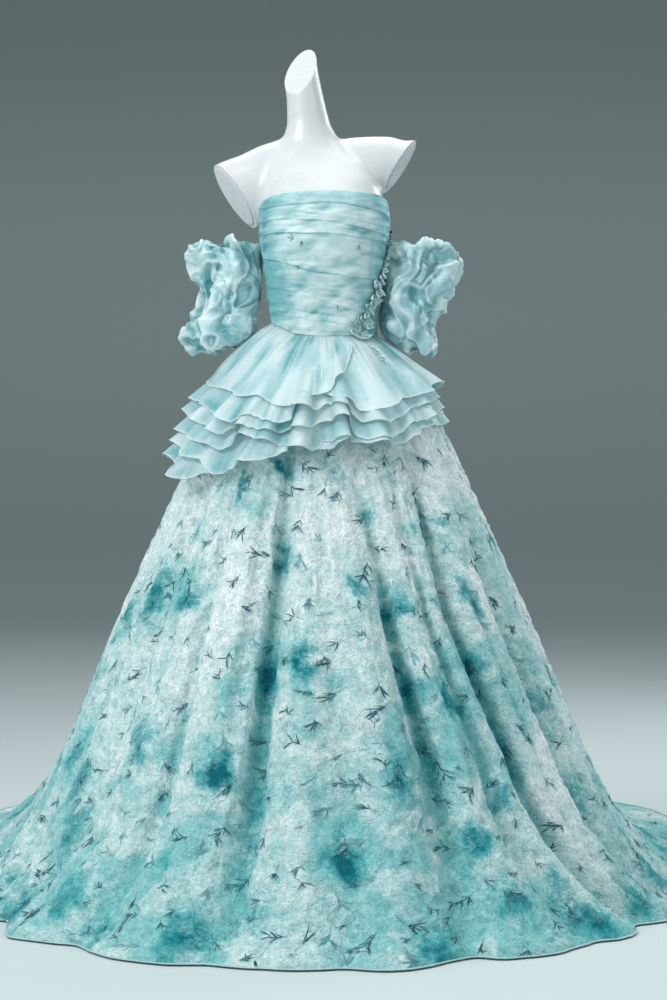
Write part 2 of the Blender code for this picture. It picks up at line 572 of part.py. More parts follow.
def shell(name, outer, inner, surface, closed=False):
    """Closed wall between two matching grids of points, a tube where closed is set."""
    columns, rows = outer.shape[:2]
    vertices = np.concatenate([outer.reshape(-1, 3), inner.reshape(-1, 3)])
    offset = columns * rows

    def at(i, j):
        return (i % columns) * rows + j

    faces = []
    last = columns if closed else columns - 1
    for i in range(last):
        for j in range(rows - 1):
            a, b, c, d = at(i, j), at(i + 1, j), at(i + 1, j + 1), at(i, j + 1)
            faces.append((a, b, c))
            faces.append((a, c, d))
            faces.append((offset + c, offset + b, offset + a))
            faces.append((offset + d, offset + c, offset + a))
        for j in (0, rows - 1):
            a, b = at(i, j), at(i + 1, j)
            quad = (a, b, offset + b, offset + a)
            faces.append(quad if j == rows - 1 else quad[::-1])
    if not closed:
        for i in (0, columns - 1):
            for j in range(rows - 1):
                a, b = at(i, j), at(i, j + 1)
                quad = (a, b, offset + b, offset + a)
                faces.append(quad if i == 0 else quad[::-1])
    return add_mesh(name, vertices, faces, surface)


def wall_from(name, point, u_values, v_values, thickness, surface, closed=False, upward=False, floor=None,
              seams=False):
    """Wall with its outer face on the surface. Seams draw both side edges in by half the seam gap."""
    u, v = np.meshgrid(np.asarray(u_values, float), np.asarray(v_values, float), indexing="ij")
    outer = point(u, v)
    inner = outer - thickness * surface_normals(point, u, v, upward)
    if floor is not None:
        inner[..., 2] = np.maximum(inner[..., 2], floor)
    if seams:
        for edge, beside in ((0, 1), (-1, -2)):
            away = outer[beside] - outer[edge]
            away = away / np.linalg.norm(away, axis=-1, keepdims=True) * SEAM_GAP * 0.55
            outer[edge] = outer[edge] + away
            inner[edge] = inner[edge] + away
    return shell(name, outer, inner, surface, closed)


PRINT = material("printed_fluffy_organza", (0.62, 0.80, 0.80), 0.85, 0.0, 0.2)
DRAPE = material("draped_bodice_organza", (0.50, 0.76, 0.77), 0.60, 0.0, 0.2)
SHEER = material("aqua_sheer_organza", (0.52, 0.78, 0.80), 0.50, 0.0, 0.3)
LEAF = material("applique_leaf_organza", (0.45, 0.70, 0.71), 0.45, 0.0, 0.2)
BEAD = material("dark_teal_bead", (0.03, 0.12, 0.13), 0.25)
FORM = material("white_form_shell", (0.86, 0.88, 0.89), 0.35)
STAND = material("white_painted_steel", (0.80, 0.82, 0.83), 0.40)

# Skirt panels, seamed in the bottoms of four large folds
SKIRT_PANELS = (
    ("skirt_front", -51, 38, 26),
    ("skirt_side_right", 38, 122, 18),
    ("skirt_back_train", 122, 234, 19),
    ("skirt_side_left", 234, 309, 15),
)
SKIRT_LEVELS = np.concatenate([np.linspace(0, 0.28, 4), np.linspace(0.36, 1.0, 13)])
for panel, first, last, count in SKIRT_PANELS:
    wall_from(panel, skirt_point, np.linspace(first, last, count + 1), SKIRT_LEVELS, SKIRT_WALL, PRINT,
              floor=0.0, seams=True)

# Peplum tiers
TIER_ANGLES = np.concatenate([
    np.linspace(-180, -101, 9)[:-1], np.linspace(-101, -54, 8)[:-1], np.linspace(-54, -14, 11)[:-1],
    np.linspace(-14, 14, 10)[:-1], np.linspace(14, 45, 8)[:-1], np.linspace(45, 101, 8)[:-1],
    np.linspace(101, 180, 9),
])
for tier in TIER_ORDER:
    first = TIER_HEMS[tier][0][0]
    last = TIER_HEMS[tier][-1][0]
    first = TIER_ANGLES[np.argmin(np.abs(TIER_ANGLES - first))] if first > -170 else first
    last = TIER_ANGLES[np.argmin(np.abs(TIER_ANGLES - last))] if last < 170 else last
    inside = [angle for angle in TIER_ANGLES if first + 0.5 < angle < last - 0.5]
    wall_from(tier, lambda t, s, tier=tier: tier_point(tier, t, s), [first] + inside + [last],
              (0, 0.25, 0.5, 0.76, 1.0) if "overlay" in tier else (0, 0.3, 0.62, 1.0), ORGANZA_WALL, SHEER)

# Bodice panels
PLEAT_COUNT = len(PLEAT_LINES) - 1
BODICE_LEVELS = [0.0]
for pleat in range(1, PLEAT_COUNT):
    BODICE_LEVELS.append((pleat - 0.02) / PLEAT_COUNT)
    BODICE_LEVELS.append((pleat + 0.10) / PLEAT_COUNT)
BODICE_LEVELS.append(1.0)
BODICE_PANELS = (
    ("bodice_front", -97, 52, 16),
    ("bodice_side_right", 52, 98, 6),
    ("bodice_back_right", 98, 180, 7),
    ("bodice_back_left", 180, 263, 7),
)
for panel, first, last, count in BODICE_PANELS:
    wall_from(panel, bodice_point, np.linspace(first, last, count + 1), BODICE_LEVELS, BODICE_WALL, DRAPE,
              upward=True, seams=True)

# Puff sleeves
for name, side in (("puff_sleeve_left", -1), ("puff_sleeve_right", 1)):
    wall_from(name, lambda t, v, side=side: sleeve_point(side, t, v), np.linspace(0, 360, 22)[:-1],
              np.linspace(0, 1, 13), SLEEVE_WALL, SHEER, closed=True)


def ring_loft(name, rings, surface):
    """Closed body through a list of rings of equal count, capped flat at both ends."""
    count = len(rings[0])
    vertices = [point for ring in rings for point in ring]
    faces = []
    for k in range(len(rings) - 1):
        for i in range(count):
            j = (i + 1) % count
            faces.append((k * count + i, k * count + j, (k + 1) * count + j, (k + 1) * count + i))
    faces.append(tuple(range(count))[::-1])
    faces.append(tuple((len(rings) - 1) * count + i for i in range(count)))
    return add_mesh(name, vertices, faces, surface)


# Dress form: height, centre x, centre y, half width, depth to the front, depth to the back
FORM_SECTIONS = (
    (FORM_BOTTOM - 0.03, 0.000, 0.0, 0.146, 0.094, 0.104),
    (0.860, 0.000, 0.0, 0.160, 0.098, 0.114),
    (0.920, 0.000, 0.0, 0.164, 0.098, 0.118),
    (0.980, 0.000, 0.0, 0.150, 0.094, 0.110),
    (1.025, 0.000, 0.0, 0.120, 0.086, 0.092),
    (1.060, 0.000, 0.0, 0.0975, 0.0800, 0.0790),
    (1.110, 0.000, 0.0, 0.0980, 0.0820, 0.0791),
    (1.150, 0.000, 0.0, 0.1055, 0.0890, 0.0796),
    (1.200, 0.000, 0.0, 0.1112, 0.1010, 0.0826),
    (1.240, 0.000, 0.0, 0.1156, 0.1120, 0.0856),
    (1.276, 0.000, 0.0, 0.1202, 0.1170, 0.0881),
    (1.305, 0.000, 0.0, 0.1215, 0.1140, 0.0896),
    (1.340, -0.002, 0.0, 0.1190, 0.1030, 0.0890),
    (1.375, -0.006, 0.005, 0.1150, 0.0850, 0.0850),
    (1.410, -0.012, 0.012, 0.1000, 0.0680, 0.0740),
    (1.440, -0.020, 0.017, 0.0760, 0.0560, 0.0640),
    (1.465, -0.026, 0.020, 0.0560, 0.0500, 0.0570),
    (1.495, -0.030, 0.020, 0.0430, 0.0470, 0.0500),
    (1.540, -0.036, 0.015, 0.0375, 0.0450, 0.0460),
    (1.590, -0.045, 0.009, 0.0350, 0.0430, 0.0430),
    (1.665, -0.052, 0.003, 0.0320, 0.0410, 0.0410),
)
# Arm stubs: centre, half height along the cut, half depth, and the share of the cut's slant
ARM_CUTS = {
    "left": ((-0.1765, 0.024, 1.356), (0.556, 0.0, -0.831), (-0.75, -0.35, -0.50), 0.0735, 0.040),
    "right": ((0.151, 0.014, 1.415), (-0.527, 0.0, -0.850), (0.83, -0.18, -0.515), 0.0590, 0.037),
}


def form_ring(section, count=40):
    z, cx, cy, half, front, back = section
    ring = []
    for k in range(count):
        a = 2 * math.pi * k / count
        depth = front if math.cos(a) > 0 else back
        power = 2.25 if z < 1.44 else 2.0
        r = ((abs(math.sin(a)) / half) ** power + (abs(math.cos(a)) / depth) ** power) ** (-1 / power)
        ring.append((cx + r * math.sin(a), cy - r * math.cos(a), z))
    return ring


def unit(v):
    v = np.asarray(v, float)
    return v / np.linalg.norm(v)


def cut_frame(side):
    centre, major, normal, high, deep = ARM_CUTS[side]
    normal = unit(normal)
    major = unit(np.asarray(major) - np.dot(major, normal) * normal)
    minor = unit(np.cross(normal, major))
    return np.asarray(centre, float), major, minor, normal, high, deep


def arm_stub_rings(side, count=32):
    """Rings from inside the chest out past the arm cut."""
    centre, major, minor, normal, high, deep = cut_frame(side)
    sign = -1 if side == "left" else 1
    root = np.array((-0.022 + sign * 0.052, 0.018, 1.388))
    rings = []
    for share, tall, wide in ((0.0, 0.082, 0.95), (0.3, 0.080, 1.02), (0.6, 0.074, 1.06), (0.85, 0.5, 1.03),
                              (1.0, 1.0, 1.0), (1.25, 1.0, 0.98)):
        tall = (tall if share < 0.8 else high if share >= 1.0 else high * 1.0 + 0.001) / high
        middle = root + (centre - root) * share
        turn = min(share, 1.0) ** 0.8
        up = unit(np.array((sign * -0.10, 0.0, -1.0)) * (1 - turn) + major * turn)
        across = unit(np.array((0.0, 1.0, 0.0)) * (1 - turn) + minor * np.sign(minor[1]) * turn)
        if share > 1.0:
            middle = centre + normal * 0.03
        ring = []
        for k in range(count):
            a = 2 * math.pi * k / count
            ring.append(tuple(middle + up * high * tall * math.cos(a) + across * deep * wide * math.sin(a)))
        rings.append(ring)
    return rings


def apply_modifiers(made):
    graph = bpy.context.evaluated_depsgraph_get()
    baked = bpy.data.meshes.new_from_object(made.evaluated_get(graph))
    made.modifiers.clear()
    made.data = baked


def slice_off(made, point, normal):
    """Cuts away what lies beyond a plane and closes the cut with a flat face."""
    work = bmesh.new()
    work.from_mesh(made.data)
    geometry = work.verts[:] + work.edges[:] + work.faces[:]
    result = bmesh.ops.bisect_plane(work, geom=geometry, plane_co=point, plane_no=normal, clear_outer=True)
    edges = [item for item in result["geom_cut"] if isinstance(item, bmesh.types.BMEdge)]
    bmesh.ops.contextual_create(work, geom=edges)
    for face in work.faces:
        flat = abs(face.normal.dot(unit(normal).tolist())) > 0.9999
        face.smooth = not (flat and len(face.verts) > 8)
    bmesh.ops.recalc_face_normals(work, faces=work.faces)
    work.to_mesh(made.data)
    work.free()


torso = ring_loft("dress_form_torso", [form_ring(section) for section in FORM_SECTIONS], FORM)
for arm in ("left", "right"):
    stub = ring_loft("arm_stub_" + arm, arm_stub_rings(arm), FORM)
    join = torso.modifiers.new("join_" + arm, "BOOLEAN")
    join.operation = "UNION"
    join.solver = "EXACT"
    join.object = stub
    apply_modifiers(torso)
    bpy.data.objects.remove(stub, do_unlink=True)
cast = torso.modifiers.new("even_skin", "REMESH")
cast.mode = "VOXEL"
cast.voxel_size = 0.0065
cast.use_smooth_shade = True
soften = torso.modifiers.new("soften", "SMOOTH")
soften.factor = 0.5
soften.iterations = 7
thin = torso.modifiers.new("thin_out", "DECIMATE")
thin.ratio = 0.026
apply_modifiers(torso)
torso.data.name = "dress_form_torso"
for arm in ("left", "right"):
    centre, major, minor, normal, high, deep = cut_frame(arm)
    cutter_rings = []
    for reach in (0.0, 0.09):
        middle = centre + normal * reach
        cutter_rings.append([tuple(middle + major * (high + 0.012) * math.cos(2 * math.pi * k / 24)
                                   + minor * (deep + 0.016) * math.sin(2 * math.pi * k / 24)) for k in range(24)])
    cutter = ring_loft("arm_cutter_" + arm, cutter_rings, FORM)
    trim = torso.modifiers.new("trim_" + arm, "BOOLEAN")
    trim.operation = "DIFFERENCE"
    trim.solver = "EXACT"
    trim.object = cutter
    apply_modifiers(torso)
    bpy.data.objects.remove(cutter, do_unlink=True)
slice_off(torso, (-0.046, -0.002, 1.594), (-0.12, -0.76, 0.64))
slice_off(torso, (0, 0, FORM_BOTTOM), (0, 0, -1))
torso.data.materials.clear()
torso.data.materials.append(FORM)


def disc(name, centre, major, minor, normal, high, deep, thickness, surface, count=24):
    rings = []
    for rise, size in ((0.0, 1.0), (thickness * 0.7, 1.0), (thickness, 0.965)):
        middle = np.asarray(centre) + np.asarray(normal) * rise
        rings.append([tuple(middle + major * high * size * math.cos(2 * math.pi * k / count)
                            + minor * deep * size * math.sin(2 * math.pi * k / count)) for k in range(count)])
    made = ring_loft(name, rings, surface)
    for face in made.data.polygons:
        face.use_smooth = len(face.vertices) == 4
    return made


for arm in ("left", "right"):
    centre, major, minor, normal, high, deep = cut_frame(arm)
    disc("arm_cap_" + arm, centre + normal * SEAM_GAP, major, minor, normal, high * 0.90, deep * 0.90, 0.0025, FORM)

X_AXIS = np.array((1.0, 0.0, 0.0))
Y_AXIS = np.array((0.0, 1.0, 0.0))
Z_AXIS = np.array((0.0, 0.0, 1.0))
disc("stand_base", (0, 0, 0), X_AXIS, Y_AXIS, Z_AXIS, BASE_RADIUS, BASE_RADIUS, BASE_THICKNESS, STAND, 36)
pole_rings = []
for height in (BASE_THICKNESS + 0.0002, FORM_BOTTOM - 0.0002):
    pole_rings.append([(POLE_RADIUS * math.sin(2 * math.pi * k / 24), -POLE_RADIUS * math.cos(2 * math.pi * k / 24),
                        height) for k in range(24)])
pole = ring_loft("stand_pole", pole_rings, STAND)
for face in pole.data.polygons:
    face.use_smooth = len(face.vertices) == 4


def bodice_outer_radius(t, z):
    """Radius of the pleated bodice at an angle and height, read along the panel's own levels."""
    t, z = np.broadcast_arrays(np.asarray(t, float), np.asarray(z, float))
    levels = np.array(BODICE_LEVELS)
    radius = np.zeros(t.shape)
    for place in np.ndindex(t.shape):
        column = bodice_point(np.full(levels.shape, t[place]), levels)
        radius[place] = np.interp(z[place], column[:, 2], np.hypot(column[:, 0], column[:, 1]))
    return radius


def trim_surface(t, z):
    """Outer face under the applique: bodice above the waist seam, the right flounce below it."""
    tier = tier_radius("peplum_flounce_right", t, np.minimum(z, waist_z(t) - 0.0004))
    cloth = np.maximum(bodice_outer_radius(t, z), bodice_outer_radius(t, z - 0.004)) + 0.0007
    share = np.clip((waist_z(t) + 0.006 - z) / 0.006, 0, 1)
    return np.maximum(cloth, tier * share)


def on_surface(t, z, rise):
    t = np.asarray(t, float)
    z = np.asarray(z, float)
    radius = trim_surface(t, z) + rise
    a = np.radians(t)
    return np.stack([radius * np.sin(a), -radius * np.cos(a), z], axis=-1)


# Applique vine: angle, height, half width in mm. Broad rows are leaves and narrow ones the stem between them
VINE_PATH = (
    (84, 1.262, 1.5), (81, 1.252, 6.0), (78, 1.240, 2.0), (75, 1.228, 7.0), (71, 1.214, 2.5), (67, 1.202, 7.5),
    (64, 1.190, 3.0), (61, 1.178, 8.0), (60, 1.164, 3.0), (60, 1.152, 8.5), (58, 1.140, 3.5), (54, 1.131, 8.0),
    (51, 1.121, 3.0), (49, 1.111, 8.0), (47, 1.101, 3.0), (44, 1.093, 5.0), (43, 1.0875, 1.5),
)
TAIL_PATH = ((43.5, 1.052, 1.5), (44.0, 1.046, 4.0), (44.5, 1.038, 2.0), (45.0, 1.030, 4.5), (45.5, 1.020, 1.5))


def trim_strip(name, path, high, surface):
    """Ribbon of leaf lobes on the cloth, thickest along its middle."""
    path = np.array(path, float)
    steps = np.linspace(0, len(path) - 1, 2 * (len(path) - 1) + 1)
    t = np.interp(steps, np.arange(len(path)), path[:, 0])
    z = np.interp(steps, np.arange(len(path)), path[:, 1])
    wide = np.interp(steps, np.arange(len(path)), path[:, 2]) / 1000.0
    run_x = np.gradient(np.radians(t)) * 0.11
    run_z = np.gradient(z)
    length = np.hypot(run_x, run_z)
    across_t = np.degrees(-run_z / length * wide / 0.11)
    across_z = run_x / length * wide
    rows = []
    for share, rise in ((-1, 0.0004 + 0.0010), (0, 0.0004 + high), (1, 0.0004 + 0.0010), (1, 0.0004), (0, 0.0004),
                        (-1, 0.0004)):
        rows.append(on_surface(t + across_t * share, z + across_z * share, rise))
    rings = [[tuple(row[k]) for row in rows] for k in range(len(steps))]
    return ring_loft(name, rings, surface)


def trim_star(name, t0, z0, lobes, high, surface):
    """Bow of pointed lobes: each lobe is a direction in degrees and a reach in mm."""
    outline = []
    for k, (turn, reach) in enumerate(lobes):
        following = lobes[(k + 1) % len(lobes)]
        gap = (following[0] - turn) % 360
        outline.append((turn, reach))
        outline.append((turn + gap * 0.30, 0.52 * reach))
        outline.append((turn + gap * 0.60, 0.45 * following[1]))
        outline.append((turn + gap * 0.82, 0.72 * following[1]))
    turns = np.radians([item[0] for item in outline])
    reach = np.array([item[1] for item in outline]) / 1000.0
    t = t0 + np.degrees(np.cos(turns) * reach / 0.112)
    z = z0 + np.sin(turns) * reach
    edge_top = on_surface(t, z, 0.0026)
    edge_low = on_surface(t, z, 0.0006)
    count = len(outline)
    vertices = [tuple(p) for p in edge_top] + [tuple(p) for p in edge_low]
    vertices.append(tuple(on_surface(t0, z0, high)))
    vertices.append(tuple(on_surface(t0, z0, 0.0006)))
    faces = []
    for i in range(count):
        j = (i + 1) % count
        faces.append((i, j, 2 * count))
        faces.append((count + j, count + i, 2 * count + 1))
        faces.append((i, count + i, count + j))
        faces.append((i, count + j, j))
    return add_mesh(name, vertices, faces, surface)


trim_strip("applique_vine", VINE_PATH, 0.0030, LEAF)
trim_star("applique_bow", 42.5, 1.069, ((20, 13), (75, 12), (118, 13), (165, 12), (215, 12), (275, 13), (325, 12)),
          0.0062, LEAF)
trim_strip("applique_tail", TAIL_PATH, 0.0024, LEAF)

bead_centre = on_surface(86, 1.281, 0.0028)
bead_rings = []
for turn in np.linspace(-75, 75, 5):
    ring = []
    for k in range(8):
        a = 2 * math.pi * k / 8
        ring.append((bead_centre[0] + 0.0032 * math.cos(math.radians(turn)) * math.sin(a),
                     bead_centre[1] - 0.0032 * math.cos(math.radians(turn)) * math.cos(a),
                     bead_centre[2] + 0.0032 * math.sin(math.radians(turn))))
    bead_rings.append(ring)
ring_loft("side_bead", bead_rings, BEAD)
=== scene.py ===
# Looks of the strapless prom dress on its white dress form, in the part's own frame.
# The front faces -Y, +X is the viewer's right, +Z is up. Units are metres.
import math

import bmesh
import bpy
import numpy as np
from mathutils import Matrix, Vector


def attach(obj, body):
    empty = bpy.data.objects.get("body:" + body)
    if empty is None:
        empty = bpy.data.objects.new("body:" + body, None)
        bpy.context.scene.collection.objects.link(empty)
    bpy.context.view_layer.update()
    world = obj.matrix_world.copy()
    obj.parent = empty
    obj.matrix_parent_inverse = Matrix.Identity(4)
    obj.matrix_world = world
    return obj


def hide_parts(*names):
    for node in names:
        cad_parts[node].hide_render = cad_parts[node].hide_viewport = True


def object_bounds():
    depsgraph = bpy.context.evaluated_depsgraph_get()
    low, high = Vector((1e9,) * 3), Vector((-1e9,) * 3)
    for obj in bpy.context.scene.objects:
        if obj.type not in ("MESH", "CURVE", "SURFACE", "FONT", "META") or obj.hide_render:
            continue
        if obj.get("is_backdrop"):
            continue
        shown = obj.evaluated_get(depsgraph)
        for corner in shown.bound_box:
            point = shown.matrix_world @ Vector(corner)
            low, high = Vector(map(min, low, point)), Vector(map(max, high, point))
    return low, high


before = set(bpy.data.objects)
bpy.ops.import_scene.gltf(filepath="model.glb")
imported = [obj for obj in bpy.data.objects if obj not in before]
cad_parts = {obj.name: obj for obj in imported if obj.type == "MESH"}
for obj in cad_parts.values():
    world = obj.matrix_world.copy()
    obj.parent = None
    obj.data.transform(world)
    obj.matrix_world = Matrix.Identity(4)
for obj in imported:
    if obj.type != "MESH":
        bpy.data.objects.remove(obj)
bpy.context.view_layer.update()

# Driving sizes in metres
HEM_RADIUS = 0.690
TRAIN_REACH = 1.400
FORM_BOTTOM = 0.800
FLUFF_HEIGHT = 0.0042
FLOOR_CLEAR = 0.0012
HEM_REST = 0.0024
SEAM_EASE = 0.0001
PRINT_LIFT = 0.0011
SKIRT_HEM_RADIUS = 0.0019
RUFFLE_HEM_RADIUS = 0.0011
SLEEVE_HEM_RADIUS = 0.0010
STEM_RADIUS = 0.0008
FORM_SKIN = 0.006
STUDIO_DROP = 0.0004
# Layers of the peplum: gap in mm, then clear height and run in metres
LAYER_GAP = 2.1
TIER_CLEAR = 0.0052
CLEAR_RUN = 0.030
# Metres in a millimetre
MM = 0.001


def soft_step(x, low, high):
    """Smooth rise from 0 at low to 1 at high."""
    u = np.clip((x - low) / (high - low), 0, 1)
    return u * u * (3 - 2 * u)


def round_point(radius, t, z):
    """Points at a radius, an angle in degrees from the front and a height."""
    a = np.radians(t)
    return np.stack([radius * np.sin(a), -radius * np.cos(a), z], axis=-1)


def blend_cells(grid, u, v):
    """Values of a grid between its rows and columns, and the cell each one lies in."""
    i = np.clip(u.astype(int), 0, grid.shape[0] - 2)
    j = np.clip(v.astype(int), 0, grid.shape[1] - 2)
    u = u - i
    v = v - j
    if grid.ndim > 2:
        u, v = u[..., None], v[..., None]
    value = ((grid[i, j] * (1 - u) + grid[i + 1, j] * u) * (1 - v)
             + (grid[i, j + 1] * (1 - u) + grid[i + 1, j + 1] * u) * v)
    return value, i, j


def smooth_table(x, keys, values):
    """Monotone cubic through the table's points, level beyond its ends."""
    keys = np.asarray(keys, float)
    values = np.asarray(values, float)
    x = np.clip(np.asarray(x, float), keys[0], keys[-1])
    step = np.diff(keys)
    slope = np.diff(values) / step
    tangent = np.zeros_like(values)
    same_sign = slope[:-1] * slope[1:] > 0
    both = np.where(same_sign, slope[:-1] + slope[1:], 1)
    tangent[1:-1] = np.where(same_sign, 2 * slope[:-1] * slope[1:] / both, 0)
    tangent[0] = slope[0]
    tangent[-1] = slope[-1]
    i = np.clip(np.searchsorted(keys, x, side="right") - 1, 0, len(keys) - 2)
    h = step[i]
    u = (x - keys[i]) / h
    a = values[i]
    b = values[i + 1]
    ma = tangent[i] * h
    mb = tangent[i + 1] * h
    return (a * (1 + 2 * u) * (1 - u) ** 2 + ma * u * (1 - u) ** 2
            + b * u * u * (3 - 2 * u) + mb * u * u * (u - 1))


def wrap(angle):
    """Angle in degrees brought to -180..180."""
    return (np.asarray(angle, float) + 180.0) % 360.0 - 180.0


def held_above(value, floor, soft):
    """Value kept above a floor, rounded where it meets it."""
    d = (value - floor) / soft
    return floor + soft * (np.maximum(d, 0) + np.log1p(np.exp(-np.abs(d))))


def bump(angle, centre, width):
    """Soft hump of height one at a centre angle."""
    return np.exp(-np.abs(wrap(angle - centre) / width) ** 1.7)


# Waist seam height by angle, 0 is the front and +90 the viewer's right
WAIST_ANGLE = (-180, -120, -90, -60, -32, 0, 60, 120, 180)
WAIST_Z = (1.088, 1.100, 1.105, 1.094, 1.076, 1.071, 1.075, 1.080, 1.088)


def waist_z(t):
    return smooth_table(t, WAIST_ANGLE, WAIST_Z)


# Skirt profile from waist to hem: front radius and height, then centre back radius and height
SKIRT_PROFILE = (
    (0.1022, 1.072, 0.1020, 1.072),
    (0.137, 1.045, 0.125, 1.045),
    (0.166, 1.010, 0.152, 1.010),
    (0.192, 0.970, 0.178, 0.965),
    (0.213, 0.930, 0.202, 0.915),
    (0.234, 0.890, 0.230, 0.855),
    (0.260, 0.840, 0.262, 0.785),
    (0.289, 0.780, 0.302, 0.700),
    (0.327, 0.700, 0.348, 0.605),
    (0.364, 0.620, 0.400, 0.505),
    (0.400, 0.540, 0.458, 0.405),
    (0.434, 0.460, 0.525, 0.305),
    (0.466, 0.380, 0.605, 0.210),
    (0.498, 0.300, 0.702, 0.130),
    (0.535, 0.220, 0.812, 0.076),
    (0.572, 0.150, 0.930, 0.043),
    (0.612, 0.090, 1.050, 0.026),
    (0.645, 0.045, 1.170, 0.018),
    (0.674, 0.017, 1.290, 0.013),
    (HEM_RADIUS, 0.0040, TRAIN_REACH, 0.0060),
)
SKIRT_ROWS = np.linspace(0, 1, len(SKIRT_PROFILE))

# Hem radius on the floor by angle
HEM_ANGLE = (-180, -165, -150, -143, -137, -130, -120, -108, -95, -75, -40, 0,
             40, 75, 95, 108, 120, 130, 137, 143, 150, 165, 180)
HEM_REACH = (1.400, 1.390, 1.335, 1.280, 1.190, 1.080, 0.930, 0.815, 0.740, 0.700, 0.690, 0.690,
             0.690, 0.700, 0.740, 0.815, 0.930, 1.080, 1.190, 1.280, 1.335, 1.390, 1.400)

# Sideways run of the folds: angle at the top, then its shift at mid height, low and at the hem
FOLD_RUN = (
    (-180, 0, 0, 0),
    (-118, -2, -4, -6),
    (-75, 1, 3, 4),
    (-50, 1, 2, -9),
    (-14, 0.5, -0.5, -3),
    (12, 6, 11, 11),
    (38, -2, 5, 20),
    (75, -1, 1, 7),
    (118, 1, 3, 6),
    (180, 0, 0, 0),
)

# Large folds: angle at the top, width in degrees, then depth in mm at five levels down to the hem
SKIRT_FOLDS = (
    (-51, 5.0, -14, -18, -16, -24, -28),
    (-42, 5.0, 4, 7, 8, 8, 8),
    (-33, 5.0, -7, -12, -15, -14, -16),
    (-24, 5.0, 5, 9, 10, 10, 8),
    (-14, 4.2, -14, -34, -36, -24, -10),
    (-6, 4.0, 3, 7, 9, 8, 6),
    (-1, 4.0, -4, -7, -12, -14, -12),
    (5, 4.5, 4, 8, 12, 12, 12),
    (12, 4.2, -6, -25, -38, -42, -40),
    (20, 4.5, 4, 9, 13, 13, 12),
    (27, 4.0, -6, -10, -11, -14, -16),
    (32, 4.0, 3, 6, 8, 8, 6),
    (38, 3.8, -18, -28, -32, -32, -20),
    (48, 5.0, 6, 10, 12, 10, 8),
    (57, 4.5, -8, -15, -20, -22, -18),
    (65, 5.0, 3, 6, 6, 8, 6),
    (73, 5.0, -8, -14, -14, -16, -12),
    (90, 6.0, -8, -14, -18, -24, -24),
    (106, 6.0, -10, -20, -28, -32, -24),
    (122, 6.0, -12, -24, -34, -36, -22),
    (140, 7.0, -12, -26, -38, -42, -26),
    (158, 7.0, -12, -26, -40, -48, -28),
    (177, 6.0, -12, -26, -40, -46, -26),
    (-161, 7.0, -12, -26, -42, -50, -28),
    (-143, 7.0, -12, -24, -38, -42, -26),
    (-126, 5.0, -12, -24, -32, -34, -22),
    (-115, 6.0, 4, 18, 34, 40, 20),
    (-102, 6.0, -8, -18, -24, -28, -20),
    (-86, 6.0, -6, -10, -16, -18, -16),
    (-68, 5.0, -8, -14, -18, -24, -20),
)
FOLD_LEVELS = (0.34, 0.52, 0.68, 0.85, 1.00)

# Small flutes of the hem: angle, width in degrees, lift in mm, reach in mm
HEM_FLUTES = (
    (-70, 4, 10, 22), (-58, 3.5, 4, -14), (-50, 3, 8, 10), (-38, 4, 3, -6), (-22, 5, 5, 8),
    (-8, 4, 3, -6), (8, 4, 6, 8), (18, 3, 9, -10), (26, 3, 6, 16), (38, 4, 4, -8),
    (47, 3, 8, 12), (56, 3, 3, -12), (66, 4, 10, 10), (80, 5, 6, -8), (96, 5, 12, 12),
    (112, 5, 5, -10), (128, 5, 12, 14), (146, 5, 8, -16), (163, 5, 14, 14), (-176, 6, 6, -14),
    (-160, 5, 12, 16), (-144, 5, 6, -16), (-128, 5, 14, 12), (-110, 5, 6, -12), (-92, 5, 12, 10),
)


def fold_shift(p, s):
    """Degrees that a fold has run sideways at each level."""
    run = np.array(FOLD_RUN, float)
    mid = smooth_table(p, run[:, 0], run[:, 1])
    low = smooth_table(p, run[:, 0], run[:, 2])
    hem = smooth_table(p, run[:, 0], run[:, 3])
    first = soft_step(s, 0.30, 0.52)
    second = np.clip((s - 0.52) / 0.16, 0, 1)
    third = soft_step(s, 0.68, 1.0)
    return mid * first + (low - mid) * second + (hem - low) * third


def fold_depth(p, s):
    """Depth of the large folds in metres."""
    depth = np.zeros(np.broadcast(p, s).shape)
    for centre, width, *levels in SKIRT_FOLDS:
        size = smooth_table(s, (0.22,) + FOLD_LEVELS, (0.0, *levels)) * MM
        depth = depth + size * bump(p, centre, width)
    return depth


def skirt_point(p, s):
    """Outer face of the skirt: p runs round in degrees, s from the waist 0 to the hem 1."""
    p = np.asarray(p, float)
    s = np.asarray(s, float)
    t = p + fold_shift(wrap(p), s)
    share = (smooth_table(wrap(t), HEM_ANGLE, HEM_REACH) - HEM_RADIUS) / (TRAIN_REACH - HEM_RADIUS)
    front_r, front_z, back_r, back_z = (smooth_table(s, SKIRT_ROWS, row) for row in zip(*SKIRT_PROFILE))
    radius = (1 - share) * front_r + share * back_r
    height = (1 - share) * front_z + share * back_z
    near_waist = np.clip(1 - s / 0.16, 0, 1)
    height = height + (waist_z(wrap(t)) - 0.0005 - 1.072) * near_waist ** 1.5
    oval = smooth_table(s, (0, 0.05, 0.30, 1.0), (0.165, 0.15, 0.0, 0.0))
    radius = radius * (1 - oval * np.cos(np.radians(t)) ** 2)
    radius = radius + fold_depth(wrap(p), s)
    low = np.clip((s - 0.86) / 0.14, 0, 1) ** 2
    for centre, width, lift, reach in HEM_FLUTES:
        hump = bump(t, centre, width) * low
        height = height + lift * MM * hump
        radius = radius + reach * MM * hump
    flat = np.clip((0.10 - height) / 0.10, 0, 1) * share
    height = height - flat * np.minimum(fold_depth(wrap(p), s), 0) * -0.35 + flat * 0.004
    return round_point(radius, t, np.maximum(height, 0.0035))


